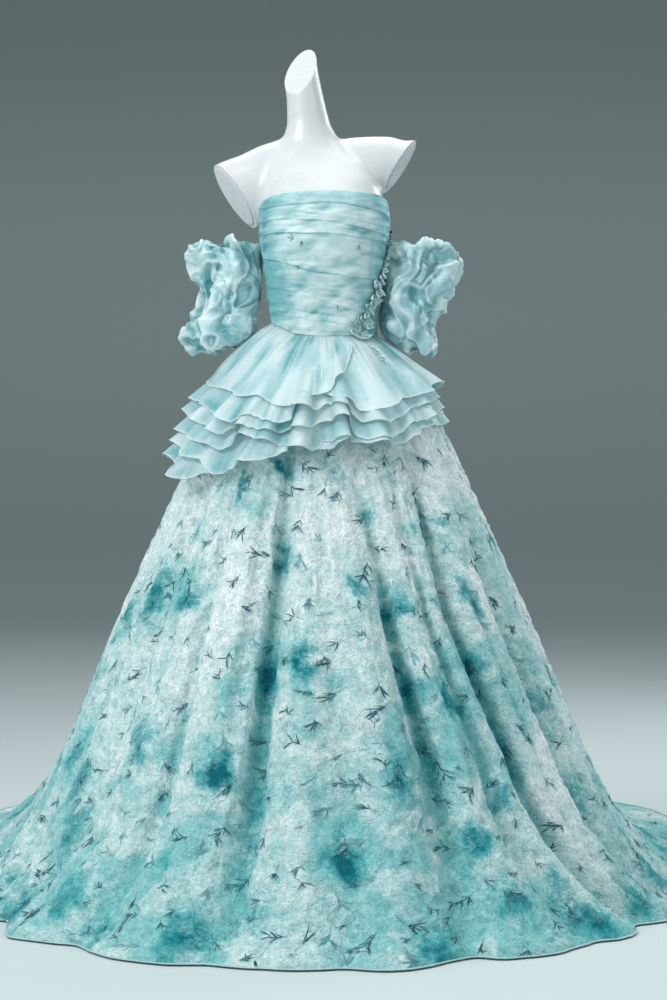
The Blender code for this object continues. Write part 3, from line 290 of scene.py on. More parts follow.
def skirt_radius_map():
    """Skirt's outer radius by angle and height above 0.74 m, where the folds run straight down."""
    angles = np.arange(-180.0, 180.01, 0.5)
    heights = np.arange(0.74, 1.112, 0.002)
    levels = np.linspace(0, 0.5, 220)
    grid = np.zeros((len(angles), len(heights)))
    for i, angle in enumerate(angles):
        line = skirt_point(np.full(levels.shape, angle), levels)
        order = np.argsort(line[:, 2])
        grid[i] = np.interp(heights, line[order, 2], np.hypot(line[order, 0], line[order, 1]))
    return angles, heights, grid


SKIRT_MAP = skirt_radius_map()
ANGLE_STEP = math.radians(SKIRT_MAP[0][1] - SKIRT_MAP[0][0])
DOWN = np.gradient(SKIRT_MAP[2], SKIRT_MAP[1], axis=1)
ROUND = np.gradient(SKIRT_MAP[2], ANGLE_STEP, axis=0) / SKIRT_MAP[2]
SKIRT_LEAN = np.sqrt(1 + DOWN ** 2 + ROUND ** 2)


def from_map(grid, t, z):
    """Value of a map of the skirt's upper part at an angle and height."""
    angles, heights, _ = SKIRT_MAP
    u = (wrap(t) - angles[0]) / (angles[1] - angles[0])
    v = (np.clip(z, heights[0], heights[-1]) - heights[0]) / (heights[1] - heights[0])
    return blend_cells(grid, u, v)[0]


# Ruffle tiers of the peplum, lowest first. Each row: angle, hem height
TIER_HEMS = {
    "ruffle_tier_6": ((-178, 0.835), (-150, 0.830), (-120, 0.838), (-95, 0.846), (-84, 0.842), (-62, 0.813),
                      (-52, 0.797), (-45, 0.803), (-40, 0.815), (-34, 0.835), (-28, 0.855), (-22, 0.875),
                      (-17, 0.895)),
    "ruffle_tier_5": ((-178, 0.858), (-150, 0.852), (-120, 0.862), (-95, 0.874), (-84, 0.867), (-68, 0.850),
                      (-53, 0.838), (-45, 0.816), (-40, 0.806), (-31, 0.811), (-28, 0.829), (-22, 0.827),
                      (-17, 0.837), (-12, 0.846), (-2, 0.847), (4, 0.852), (8, 0.862), (12, 0.875),
                      (16, 0.895), (20, 0.915)),
    "ruffle_tier_4": ((-178, 0.882), (-150, 0.876), (-120, 0.888), (-95, 0.892), (-77, 0.885), (-54, 0.867),
                      (-41, 0.850), (-31, 0.878), (-22, 0.866), (-16, 0.856), (-12.5, 0.858), (-8.5, 0.840),
                      (-2, 0.850), (0, 0.864), (8, 0.863), (23, 0.859), (29, 0.860), (39, 0.875), (45, 0.892),
                      (60, 0.900), (90, 0.905), (130, 0.893), (178, 0.882)),
    "ruffle_tier_3": ((-178, 0.906), (-150, 0.900), (-120, 0.915), (-95, 0.932), (-84, 0.928), (-77, 0.913),
                      (-55, 0.898), (-43, 0.878), (-38, 0.892), (-28, 0.891), (-23, 0.885), (-17, 0.882),
                      (-12, 0.888), (-8, 0.876), (-2, 0.897), (5, 0.901), (9, 0.900), (13, 0.872),
                      (18, 0.867), (25, 0.870), (32, 0.884), (38, 0.899), (55, 0.912), (75, 0.930),
                      (110, 0.922), (178, 0.906)),
    "ruffle_tier_2": ((-178, 0.932), (-150, 0.928), (-120, 0.940), (-95, 0.955), (-84, 0.952), (-67, 0.938),
                      (-47, 0.910), (-37, 0.903), (-30, 0.912), (-19, 0.897), (-13, 0.903), (-9, 0.916),
                      (-3, 0.921), (2, 0.933), (8, 0.925), (16, 0.899), (22, 0.897), (32, 0.912), (44, 0.930),
                      (54, 0.936), (75, 0.950), (110, 0.946), (178, 0.932)),
    "peplum_flounce_right": ((-1, 0.956), (3, 0.949), (6, 0.943), (10, 0.944), (12, 0.940), (15, 0.921),
                             (18, 0.917), (26, 0.925), (36, 0.943), (53, 0.956), (72, 0.980), (90, 0.978),
                             (120, 0.968), (179.93, 0.960)),
    "peplum_overlay_left": ((-179.93, 0.960), (-150, 0.965), (-120, 0.975), (-95, 0.988), (-84, 0.985),
                            (-68, 0.972), (-52, 0.962), (-40, 0.950), (-32, 0.949), (-25, 0.939),
                            (-20, 0.928), (-15, 0.929), (-10, 0.938), (-5, 0.947), (2, 0.955), (5.3, 0.965),
                            (8, 0.982), (12.5, 1.000), (20.5, 1.033), (24, 1.046)),
}
# Top line below the waist seam in mm, flare of the hem in mm, gather waves in mm
TIER_SIZES = {
    "ruffle_tier_6": (150, 34, 1.0),
    "ruffle_tier_5": (120, 30, 1.0),
    "ruffle_tier_4": (90, 28, 1.0),
    "ruffle_tier_3": (60, 30, 1.0),
    "ruffle_tier_2": (32, 30, 1.0),
    "peplum_flounce_right": (0.9, 30, 1.0),
    "peplum_overlay_left": (0.9, 26, 0.45),
}
TIER_ORDER = tuple(TIER_SIZES)

# Flutes of the ruffles: angle, width in degrees, reach in mm, each tier's own shift in degrees per step
FLUTES = (
    (-170, 7, 22, 1.5), (-152, 6, 26, -2.0), (-134, 7, 20, 2.0), (-117, 6, 28, -1.5), (-99, 6, 20, 1.5),
    (-84, 6, 26, 0.8), (-64, 6, 20, -2.0), (-47, 5, 24, 2.2), (-33, 4.5, 22, -2.0), (-21, 4, 18, 1.6),
    (-8, 4.2, 34, 0.4), (7.5, 3.2, 28, 0.6), (21, 6, 30, 1.2), (37, 5, 18, -1.8), (54, 5, 20, 1.5),
    (72, 6, 28, 0.6), (92, 7, 18, -1.5), (110, 6, 26, 1.5), (128, 6, 20, -1.5), (146, 6, 26, 1.5),
    (163, 6, 20, -1.0),
)


def tier_top_z(name, t):
    return waist_z(t) - TIER_SIZES[name][0] * MM


def tier_hem_z(name, t):
    rows = np.array(TIER_HEMS[name], float)
    hem = smooth_table(t, rows[:, 0], rows[:, 1])
    return np.minimum(hem, tier_top_z(name, t) - 0.016)


def tier_own_radius(name, t, z):
    """Outer radius of one tier alone: it leaves the skirt at its top and swells out in flutes to its hem."""
    _, flare, gather = TIER_SIZES[name]
    step = TIER_ORDER.index(name)
    top = tier_top_z(name, t)
    hem = tier_hem_z(name, t)
    s = np.clip((top - z) / (top - hem), 0, 1.15)
    right_side = np.clip((wrap(t) - 30) / 40, 0, 1) * (step < 5)
    reach = np.zeros(np.broadcast(t, z).shape)
    for centre, width, size, own in FLUTES:
        reach = reach + size * bump(t, centre + own * (step - 3) * 1.6, width)
    reach = reach * gather * (1 - 0.55 * right_side)
    short = np.clip((top - hem) / 0.105, 0.10, 1.0) ** 1.5
    swell = (flare * (1 - 0.5 * right_side) * s ** 1.25 + reach * s ** 1.5) * short
    if name == "ruffle_tier_6":
        swell = swell * np.clip((-38 - t) / 14, 0.3, 1.0)
    if name == "peplum_flounce_right":
        swell = swell * np.clip((t + 4) / 9, 0.35, 1.0)
    if name == "peplum_overlay_left":
        swell = swell + 10.0 * np.sin(np.clip(s, 0, 1) * math.pi) * np.clip(-(t + 20) / 50, 0, 1)
    return from_map(SKIRT_MAP[2], t, z) + (LAYER_GAP * from_map(SKIRT_LEAN, t, z) + swell) * MM


def tier_radius(name, t, z):
    """Outer radius of one tier at an angle and height, held clear of every tier beneath it."""
    need = np.zeros(np.broadcast(t, z).shape)
    for below in TIER_ORDER:
        radius = np.maximum(tier_own_radius(below, t, z), need)
        if below == name:
            return radius
        if below == "peplum_flounce_right" and name != "peplum_overlay_left":
            continue
        rows = TIER_HEMS[below]
        side = np.clip(np.minimum(t - rows[0][0] + 14, rows[-1][0] + 14 - t) / 11, 0, 1)
        over = np.clip((tier_top_z(below, t) + CLEAR_RUN - z) / (CLEAR_RUN - 0.004), 0, 1)
        under = np.clip((z - tier_hem_z(below, t) + 0.034) / 0.022, 0, 1)
        share = side * over * over * (3 - 2 * over) * under
        rest = from_map(SKIRT_MAP[2], t, z)
        need = np.maximum(need, rest + (radius + TIER_CLEAR - rest) * share)
    return radius


def tier_point(name, t, s):
    top = tier_top_z(name, t)
    hem = tier_hem_z(name, t)
    z = top + (hem - top) * s
    return round_point(tier_radius(name, t, z), t, z)


# Bodice sections: height, half width, depth to the front, depth to the back
BODICE_SECTIONS = np.array((
    (1.060, 0.1035, 0.0860, 0.0850),
    (1.110, 0.1040, 0.0880, 0.0845),
    (1.150, 0.1115, 0.0950, 0.0850),
    (1.200, 0.1172, 0.1070, 0.0880),
    (1.240, 0.1216, 0.1180, 0.0910),
    (1.276, 0.1262, 0.1230, 0.0935),
    (1.305, 0.1280, 0.1200, 0.0950),
    (1.335, 0.1276, 0.1120, 0.0950),
    (1.370, 0.1250, 0.1020, 0.0940),
))

# Pleat edges across the bodice: height at the viewer's left side, centre front, right side and centre back
PLEAT_LINES = (
    (1.078, 1.071, 1.075, 1.088),
    (1.124, 1.094, 1.092, 1.112),
    (1.150, 1.115, 1.109, 1.135),
    (1.187, 1.154, 1.150, 1.165),
    (1.228, 1.181, 1.177, 1.195),
    (1.254, 1.222, 1.216, 1.220),
    (1.278, 1.257, 1.256, 1.242),
    (1.300, 1.285, 1.278, 1.258),
    (1.312, 1.312, 1.305, 1.270),
    (1.318, 1.346, 1.322, 1.282),
)


def bodice_top_z(t):
    return smooth_table(wrap(t), (-180, -125, -100, -88, -74, -50, 0, 50, 74, 92, 125, 180),
                        (1.282, 1.282, 1.286, 1.300, 1.329, 1.340, 1.346, 1.344, 1.335, 1.304, 1.284, 1.282))


def body_radius(t, z):
    """Radius of the torso section at an angle, flatter than an ellipse across the front."""
    half, front, back = (smooth_table(z, BODICE_SECTIONS[:, 0], BODICE_SECTIONS[:, k]) for k in (1, 2, 3))
    a = np.radians(t)
    side = np.abs(np.sin(a))
    fore = np.cos(a)
    depth = np.where(fore > 0, front, back)
    power = 2.3
    return ((side / half) ** power + (np.abs(fore) / depth) ** power) ** (-1 / power)


def bodice_point(t, s):
    """Outer face of the bodice with its draped pleats, s from the waist 0 to the top edge 1."""
    t = np.asarray(t, float)
    s = np.asarray(s, float)
    lines = np.array(PLEAT_LINES)
    count = len(lines) - 1
    angle = (-180, -95, -55, 0, 55, 95, 180)
    rows = []
    for left, centre, right, back in lines:
        rows.append(smooth_table(wrap(t), angle, (back, left, (left * 0.6 + centre * 0.4), centre,
                                                  (right * 0.6 + centre * 0.4), right, back)))
    rows = np.stack(rows, axis=0)
    rows[0] = waist_z(wrap(t))
    top = bodice_top_z(t)
    rows[-1] = top
    for k in range(count - 1, 0, -1):
        rows[k] = np.minimum(rows[k], rows[k + 1] - 0.006)
    for k in range(1, count):
        rows[k] = np.maximum(rows[k], rows[k - 1] + 0.006)
    rows[-1] = np.maximum(rows[-1], rows[-2] + 0.004)
    place = np.clip(s, 0, 1) * count
    low = np.minimum(place.astype(int), count - 1)
    part = place - low
    below = np.take_along_axis(rows, low[None], axis=0)[0]
    above = np.take_along_axis(rows, (low + 1)[None], axis=0)[0]
    z = below * (1 - part) + above * part
    radius = body_radius(t, z)
    side_fade = 0.25 + 0.75 * np.clip((92 - np.abs(wrap(t))) / 22, 0, 1)
    side_fade = side_fade * np.clip((above - below - 0.004) / 0.018, 0, 1)
    size = np.array((0.0, 1.4, 1.8, 2.0, 3.2, 1.8, 3.0, 2.2, 2.4, 1.2)) * MM
    raised = np.take(size, low) * np.exp(-part * 4.0) * np.clip(part * 12, 0, 1)
    return round_point(radius + raised * side_fade, t, z)


# Puff sleeve rings: share of the way round its profile, width share, height, centre x, half width, half depth
SLEEVE_LEFT = np.array((
    (0.00, 0.52, 1.240, -0.186, 0.068, 0.062),
    (0.07, 0.66, 1.254, -0.187, 0.068, 0.062),
    (0.14, 0.86, 1.260, -0.188, 0.069, 0.062),
    (0.22, 1.00, 1.246, -0.191, 0.071, 0.064),
    (0.32, 1.00, 1.222, -0.193, 0.071, 0.064),
    (0.43, 1.00, 1.188, -0.188, 0.066, 0.060),
    (0.54, 1.00, 1.156, -0.187, 0.064, 0.060),
    (0.65, 1.00, 1.125, -0.194, 0.064, 0.062),
    (0.75, 1.00, 1.098, -0.203, 0.070, 0.064),
    (0.85, 1.00, 1.072, -0.204, 0.067, 0.062),
    (0.93, 0.80, 1.052, -0.204, 0.066, 0.060),
    (1.00, 0.56, 1.054, -0.204, 0.062, 0.058),
))
SLEEVE_RIGHT = np.array((
    (0.00, 0.52, 1.238, 0.186, 0.064, 0.062),
    (0.07, 0.66, 1.252, 0.187, 0.066, 0.062),
    (0.14, 0.86, 1.259, 0.188, 0.068, 0.062),
    (0.22, 1.00, 1.244, 0.190, 0.074, 0.064),
    (0.32, 1.00, 1.218, 0.188, 0.075, 0.065),
    (0.43, 1.00, 1.186, 0.189, 0.077, 0.065),
    (0.54, 1.00, 1.152, 0.179, 0.070, 0.062),
    (0.65, 1.00, 1.122, 0.170, 0.062, 0.060),
    (0.75, 1.00, 1.094, 0.164, 0.056, 0.058),
    (0.85, 1.00, 1.068, 0.169, 0.052, 0.055),
    (0.93, 0.80, 1.048, 0.174, 0.048, 0.052),
    (1.00, 0.56, 1.051, 0.176, 0.048, 0.050),
))
# Crumples: angle round the sleeve from its front, place down it, width in degrees, length share, reach in mm
CRUMPLES_LEFT = (
    (-80, 0.24, 26, 0.07, 9), (-62, 0.36, 16, 0.05, -12), (-30, 0.17, 16, 0.07, 10),
    (-6, 0.28, 12, 0.14, -11), (14, 0.36, 10, 0.24, 9), (36, 0.30, 12, 0.10, -9), (58, 0.44, 18, 0.10, 6),
    (-40, 0.48, 15, 0.07, -13), (-88, 0.50, 20, 0.08, -6), (-20, 0.60, 16, 0.09, 8),
    (6, 0.68, 12, 0.06, -14), (34, 0.80, 22, 0.07, 8), (-58, 0.72, 14, 0.10, -8), (-88, 0.80, 20, 0.07, 7),
    (-14, 0.84, 14, 0.06, 6), (74, 0.68, 16, 0.06, -9), (120, 0.30, 22, 0.10, 8), (160, 0.52, 24, 0.10, -9),
    (-150, 0.40, 22, 0.10, 8), (-125, 0.68, 22, 0.10, -8), (130, 0.78, 24, 0.09, 7),
    (178, 0.80, 20, 0.08, 6),
)
CRUMPLES_RIGHT = (
    (80, 0.30, 24, 0.08, 8), (56, 0.22, 20, 0.07, 7), (22, 0.36, 13, 0.09, -14), (40, 0.44, 16, 0.05, 8),
    (-16, 0.28, 13, 0.12, 8), (-46, 0.32, 16, 0.10, -12), (-38, 0.50, 18, 0.08, 9),
    (-4, 0.54, 13, 0.06, -14), (18, 0.60, 18, 0.05, 7), (86, 0.56, 20, 0.07, -5), (-58, 0.62, 14, 0.06, -9),
    (-22, 0.76, 26, 0.10, 8), (44, 0.74, 18, 0.08, -6), (60, 0.84, 18, 0.06, 12), (10, 0.16, 14, 0.05, 7),
    (-62, 0.82, 20, 0.07, 5), (120, 0.34, 24, 0.10, -8), (150, 0.56, 22, 0.10, 8),
    (-150, 0.44, 22, 0.10, -8), (-120, 0.66, 22, 0.10, 7),
)


def sleeve_point(side, t, v):
    """Puff sleeve: t runs round it from the front to the viewer's right, v from the top lip to the lower."""
    rings = SLEEVE_LEFT if side < 0 else SLEEVE_RIGHT
    crumples = CRUMPLES_LEFT if side < 0 else CRUMPLES_RIGHT
    t = np.asarray(t, float)
    v = np.asarray(v, float)
    share, z, cx, half, deep = (smooth_table(v, rings[:, 0], rings[:, k]) for k in range(1, 6))
    relief = np.zeros(np.broadcast(t, v).shape)
    for angle, place, width, length, reach in crumples:
        relief = relief + reach * MM * bump(t, angle, width) * np.exp(-((v - place) / length) ** 2)
    calm = np.clip((v - 0.04) / 0.10, 0, 1) * np.clip((0.98 - v) / 0.08, 0, 1)
    a = np.radians(t)
    x = cx + (half * share + relief * calm) * np.sin(a)
    y = 0.012 - (deep * share + relief * calm) * np.cos(a)
    gather = 0.005 * np.sin(np.radians(t) * 9 + 1.0) + 0.004 * np.sin(np.radians(t) * 5)
    ends = np.exp(-((v - 0.12) / 0.07) ** 2) + np.exp(-((v - 0.92) / 0.06) ** 2)
    inner_side = bump(t, -90 * side, 55)
    z = z + gather * ends * (1 - 0.9 * inner_side)
    z = z + 0.015 * inner_side * np.clip((v - 0.65) / 0.30, 0, 1)
    if side > 0:
        z = z - 0.013 * bump(t, 52, 34) * np.clip((v - 0.72) / 0.24, 0, 1)
    wall = smooth_table(z, BODICE_SECTIONS[:, 0], BODICE_SECTIONS[:, 1]) + (-0.0028 if side < 0 else -0.0006)
    lip = np.clip((0.14 - v) / 0.14, 0, 1) + np.clip((v - 0.86) / 0.14, 0, 1)
    x = held_above(x * side, wall + 0.009 * lip, 0.004) * side
    around = np.degrees(np.arctan2(x, -y))
    tier = "peplum_overlay_left" if side < 0 else "peplum_flounce_right"
    radius = np.hypot(x, y)
    share = np.clip((tier_top_z(tier, around) + 0.022 - z) / 0.020, 0, 1)
    need = (tier_radius(tier, around, z) + 0.006 + 0.009 * lip) * share
    clear = held_above(radius, need, 0.003)
    x = x * clear / radius
    y = y * clear / radius
    return np.stack([x, y, z], axis=-1)


def lattice(i, j, k, seed):
    """Repeatable value from -1 to 1 at whole-number points."""
    n = (i * 374761393 + j * 668265263 + k * 2147483647 + seed * 1442695041) & 0xFFFFFFFF
    n = ((n ^ (n >> 13)) * 1274126177) & 0xFFFFFFFF
    n = ((n ^ (n >> 16)) * 2246822519) & 0xFFFFFFFF
    return ((n ^ (n >> 15)) & 0xFFFF) / 32767.5 - 1.0


def noise3(points, scale, seed):
    """Smooth noise from about -1 to 1 with the given feature size."""
    q = np.asarray(points, float) / np.asarray(scale, float) + 1000.0
    base = np.floor(q).astype(np.int64)
    u = q - base
    u = u * u * (3 - 2 * u)
    total = 0.0
    for di in (0, 1):
        for dj in (0, 1):
            for dk in (0, 1):
                weight = (u[..., 0] if di else 1 - u[..., 0]) * (u[..., 1] if dj else 1 - u[..., 1])
                weight = weight * (u[..., 2] if dk else 1 - u[..., 2])
                corner = lattice(base[..., 0] + di, base[..., 1] + dj, base[..., 2] + dk, seed)
                total = total + weight * corner
    return total


def noise_vectors(points, scale, seeds):
    """Three noises side by side, to push a pattern about."""
    return np.stack([noise3(points, scale, seed) for seed in seeds], axis=-1)


def plane_noise(a, b, scale_a, scale_b, seed):
    """Noise over two numbers, each with its own feature size."""
    a, b = np.broadcast_arrays(a, b)
    return noise3(np.stack([a / scale_a, b / scale_b, np.zeros(a.shape)], axis=-1), 1.0, seed)


def round_noise(angle, b, degrees, scale_b, seed):
    """Noise round a closed piece, which meets itself after a whole turn."""
    angle, b = np.broadcast_arrays(angle, b)
    a = np.radians(angle)
    reach = math.degrees(1.0) / degrees
    return noise3(np.stack([np.cos(a) * reach, np.sin(a) * reach, b / scale_b], axis=-1), 1.0, seed)


def grid_normals(points, closed=False):
    """Outward normals of a grid whose first run goes round and second runs down."""
    if closed:
        along = np.roll(points, -1, axis=0) - np.roll(points, 1, axis=0)
    else:
        along = np.gradient(points, axis=0)
    down = np.gradient(points, axis=1)
    normal = np.cross(down, along)
    return normal / np.maximum(np.linalg.norm(normal, axis=-1, keepdims=True), 1e-12)


def into_scene(name, data):
    made = bpy.data.objects.new(name, data)
    bpy.context.scene.collection.objects.link(made)
    return made


def cloth(name, points, surface, slot, nodes=(), closed=False, upward=False, tint=None):
    """Smooth sheet through a grid of points, with an optional colour attribute of three channels."""
    rows, cols = points.shape[:2]
    index = np.arange(rows * cols).reshape(rows, cols)
    if closed:
        index = np.vstack([index, index[:1]])
    a, b, c, d = index[:-1, :-1], index[1:, :-1], index[1:, 1:], index[:-1, 1:]
    order = (a, b, c, d) if upward else (a, d, c, b)
    faces = np.stack(order, axis=-1).reshape(-1, 4)
    mesh = bpy.data.meshes.new(name)
    mesh.vertices.add(rows * cols)
    mesh.vertices.foreach_set("co", np.ascontiguousarray(points, np.float32).ravel())
    mesh.loops.add(faces.size)
    mesh.loops.foreach_set("vertex_index", faces.ravel().astype(np.int32))
    mesh.polygons.add(len(faces))
    mesh.polygons.foreach_set("loop_start", np.arange(0, faces.size, 4, dtype=np.int32))
    mesh.update(calc_edges=True)
    mesh.validate()
    mesh.polygons.foreach_set("use_smooth", np.ones(len(mesh.polygons), bool))
    places = np.stack(np.meshgrid(np.linspace(0, 1, rows + (1 if closed else 0)), np.linspace(0, 1, cols),
                                  indexing="ij"), axis=-1).reshape(-1, 2)
    if closed:
        corner = np.arange((rows + 1) * cols).reshape(rows + 1, cols)
        corners = np.stack((corner[:-1, :-1], corner[:-1, 1:], corner[1:, 1:], corner[1:, :-1]), axis=-1)
        if upward:
            corners = corners[..., ::-1]
    else:
        corners = faces
    layer = mesh.uv_layers.new(name="cloth")
    layer.data.foreach_set("uv", places[corners.reshape(-1)].astype(np.float32).ravel())
    if tint is not None:
        colour = np.ones((rows * cols, 4), np.float32)
        colour[:, :3] = tint.reshape(-1, 3)
        layer = mesh.color_attributes.new("tint", "FLOAT_COLOR", "POINT")
        layer.data.foreach_set("color", colour.ravel())
    made = into_scene(name, mesh)
    mesh.materials.append(surface)
    finish_piece(made, nodes)
    return made


def finish_piece(made, nodes=()):
    """Fixes a piece to the one body and hides the solids that it stands for."""
    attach(made, "root")
    if nodes:
        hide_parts(*nodes)


def plain_mesh(name, vertices, faces):
    mesh = bpy.data.meshes.new(name)
    mesh.from_pydata([tuple(map(float, p)) for p in vertices], [], faces)
    mesh.update()
    for face in mesh.polygons:
        face.use_smooth = True
    return mesh


def faces_piece(name, vertices, faces, surface, colours, nodes=()):
    """Smooth piece made from separate faces, with a colour attribute."""
    mesh = plain_mesh(name, vertices, faces)
    values = np.ones((len(vertices), 4), np.float32)
    values[:, :3] = colours
    mesh.color_attributes.new("tint", "FLOAT_COLOR", "POINT").data.foreach_set("color", values.ravel())
    mesh.materials.append(surface)
    made = into_scene(name, mesh)
    finish_piece(made, nodes)
    return made


def tube_grid(line, radius, sides=6):
    """Ring points of a tube along a line of points."""
    line = np.asarray(line, float)
    run = np.gradient(line, axis=0)
    run = run / np.maximum(np.linalg.norm(run, axis=1, keepdims=True), 1e-12)
    side = np.cross(run, np.array((0.0, 0.0, 1.0)))
    weak = np.linalg.norm(side, axis=1, keepdims=True) < 0.05
    side = np.where(weak, np.cross(run, np.array((1.0, 0.0, 0.0))), side)
    side = side / np.linalg.norm(side, axis=1, keepdims=True)
    up = np.cross(side, run)
    turn = 2 * math.pi * np.arange(sides) / sides
    radius = np.broadcast_to(np.asarray(radius, float), (len(line),))
    ring = side[None] * np.cos(turn)[:, None, None] + up[None] * np.sin(turn)[:, None, None]
    return line[None] + ring * radius[None, :, None]


def cord(name, line, radius, surface, slot, sides=5):
    """Thin round roll or cord along a line."""
    return cloth(name, np.swapaxes(tube_grid(line, radius, sides), 0, 1)[:, ::-1], surface, slot)


# Materials
WEAVE_DEPTH = 0.00035


def surface_nodes(name, roughness, sheen=0.0, alpha=1.0, gloss=0.5):
    """New material with its node tree and its shader."""
    made = bpy.data.materials.new(name)
    made.use_nodes = True
    tree = made.node_tree
    shader = tree.nodes["Principled BSDF"]
    shader.inputs["Roughness"].default_value = roughness
    shader.inputs["Sheen Weight"].default_value = sheen
    shader.inputs["Alpha"].default_value = alpha
    shader.inputs["Specular IOR Level"].default_value = gloss
    return made, tree, shader


def place(tree, kind, **values):
    """New node with its inputs or settings."""
    node = tree.nodes.new(kind)
    for key, value in values.items():
        if key in node.inputs:
            node.inputs[key].default_value = value
        else:
            setattr(node, key, value)
    return node


def noise_node(tree, size, detail=2.0, distortion=0.0, stretch=None):
    """Noise with a feature size in metres, in the part's own coordinates."""
    where = place(tree, "ShaderNodeTexCoord")
    source = where.outputs["Object"]
    if stretch is not None:
        scale = place(tree, "ShaderNodeMapping")
        scale.inputs["Scale"].default_value = stretch
        tree.links.new(source, scale.inputs["Vector"])
        source = scale.outputs["Vector"]
    node = place(tree, "ShaderNodeTexNoise", Scale=1.0 / size, Detail=detail, Distortion=distortion)
    tree.links.new(source, node.inputs["Vector"])
    return node.outputs["Fac"]


def ramp(tree, source, stops, smooth=True):
    """Colour bar read at a value: each stop has a position and a screen colour."""
    node = place(tree, "ShaderNodeValToRGB")
    bar = node.color_ramp
    bar.interpolation = "EASE" if smooth else "LINEAR"
    while len(bar.elements) < len(stops):
        bar.elements.new(0.5)
    for element, (position, colour) in zip(bar.elements, stops):
        element.position = position
        element.color = (*linear(colour), 1.0)
    tree.links.new(source, node.inputs["Fac"])
    return node.outputs["Color"]


def linear(colour):
    """Screen colour from 0 to 255 as linear light."""
    values = np.asarray(colour, float) / 255.0
    return tuple(np.where(values <= 0.04045, values / 12.92, ((values + 0.055) / 1.055) ** 2.4))


def mix(tree, share, first, second, kind="MIX"):
    node = place(tree, "ShaderNodeMix", data_type="RGBA", blend_type=kind)
    for socket, value in ((node.inputs["Factor"], share), (node.inputs[6], first), (node.inputs[7], second)):
        if isinstance(value, bpy.types.NodeSocket):
            tree.links.new(value, socket)
        elif isinstance(value, tuple):
            socket.default_value = (*linear(value), 1.0)
        else:
            socket.default_value = value
    return node.outputs[2]


def maths_node(tree, operation, first, second=0.0, third=0.0, clamp=False):
    node = place(tree, "ShaderNodeMath", operation=operation, use_clamp=clamp)
    for socket, value in zip(node.inputs, (first, second, third)):
        if isinstance(value, bpy.types.NodeSocket):
            tree.links.new(value, socket)
        else:
            socket.default_value = value
    return node.outputs[0]


def scaled(tree, value, factor, added=0.0, clamp=False):
    """Value times a factor, plus what is added."""
    return maths_node(tree, "MULTIPLY_ADD", value, factor, added, clamp)


def tint_channels(tree):
    source = place(tree, "ShaderNodeAttribute", attribute_name="tint")
    parts = place(tree, "ShaderNodeSeparateColor")
    tree.links.new(source.outputs["Color"], parts.inputs["Color"])
    return parts.outputs["Red"], parts.outputs["Green"], parts.outputs["Blue"]


def bump_into(tree, shader, height, distance, strength=1.0, after=None):
    node = place(tree, "ShaderNodeBump", Strength=strength, Distance=distance)
    tree.links.new(height, node.inputs["Height"])
    if after is not None:
        tree.links.new(after, node.inputs["Normal"])
    tree.links.new(node.outputs["Normal"], shader.inputs["Normal"])
    return node.outputs["Normal"]


def printed_cloth(name):
    """Pale fluffy organza: tint red is the teal wash, green the aqua wash, both deepened in the crease bottoms
    as painted shade, blue the height of the fluff, which paints highlights on its tufts and shade in its
    hollows.
    """
    made, tree, shader = surface_nodes(name, 0.86, 0.06, gloss=0.14)
    wash, aqua, fluff = tint_channels(tree)
    fibres = noise_node(tree, 0.0165, 2.0, 1.8)
    curl = maths_node(tree, "ABSOLUTE", scaled(tree, fibres, 5.0, -2.5))
    curl = maths_node(tree, "SUBTRACT", 1.0, curl, clamp=True)
    strands = noise_node(tree, 0.0078, 2.5, 1.5)
    dust = noise_node(tree, 0.0065, 5.0, 0.8)
    bleed = noise_node(tree, 0.034, 4.0, 1.4)
    relief = scaled(tree, fluff, 0.46, scaled(tree, curl, 0.20))
    relief = scaled(tree, strands, 0.42, relief)
    # The pale ground is lighter on the fluff's tops and darker in its hollows: painted highlight and painted
    # shade.
    ground_with_painted_light = ramp(tree, relief, ((0.22, (172, 203, 206)), (0.40, (200, 221, 223)), (0.58, (219, 232, 233)),
                                 (0.84, (242, 248, 248))))
    spread = scaled(tree, bleed, 1.5, -0.75)
    grain = scaled(tree, dust, 1.1, -0.55)
    aqua_share = scaled(tree, spread, 0.50, aqua)
    aqua_share = scaled(tree, grain, 0.35, aqua_share)
    aqua_share = ramp(tree, aqua_share, ((0.02, (0, 0, 0)), (0.95, (248, 248, 248))), False)
    # The aqua wash is likewise darker in the fluff's hollows: painted shade.
    washed = mix(tree, aqua_share, ground_with_painted_light, mix(tree, relief, (62, 158, 160), (150, 210, 210)))
    deep = scaled(tree, spread, 0.50, wash)
    deep = scaled(tree, grain, 0.60, deep)
    teal = ramp(tree, deep, ((0.20, (70, 188, 190)), (0.50, (22, 160, 166)), (0.85, (0, 130, 140)),
                             (1.0, (0, 104, 118))))
    share = ramp(tree, deep, ((0.06, (0, 0, 0)), (0.34, (136, 136, 136)), (0.62, (222, 222, 222)),
                              (0.95, (254, 254, 254))))
    colour = mix(tree, share, washed, teal)
    # Painted shade between the strands of the fluff, multiplied over the colour.
    light = ramp(tree, strands, ((0.32, (212, 222, 223)), (0.60, (255, 255, 255))))
    colour = mix(tree, 0.6, colour, light, "MULTIPLY")
    tree.links.new(colour, shader.inputs["Base Color"])
    first = bump_into(tree, shader, curl, 0.0050, 0.40)
    bump_into(tree, shader, strands, 0.0050, 0.55, first)
    return made


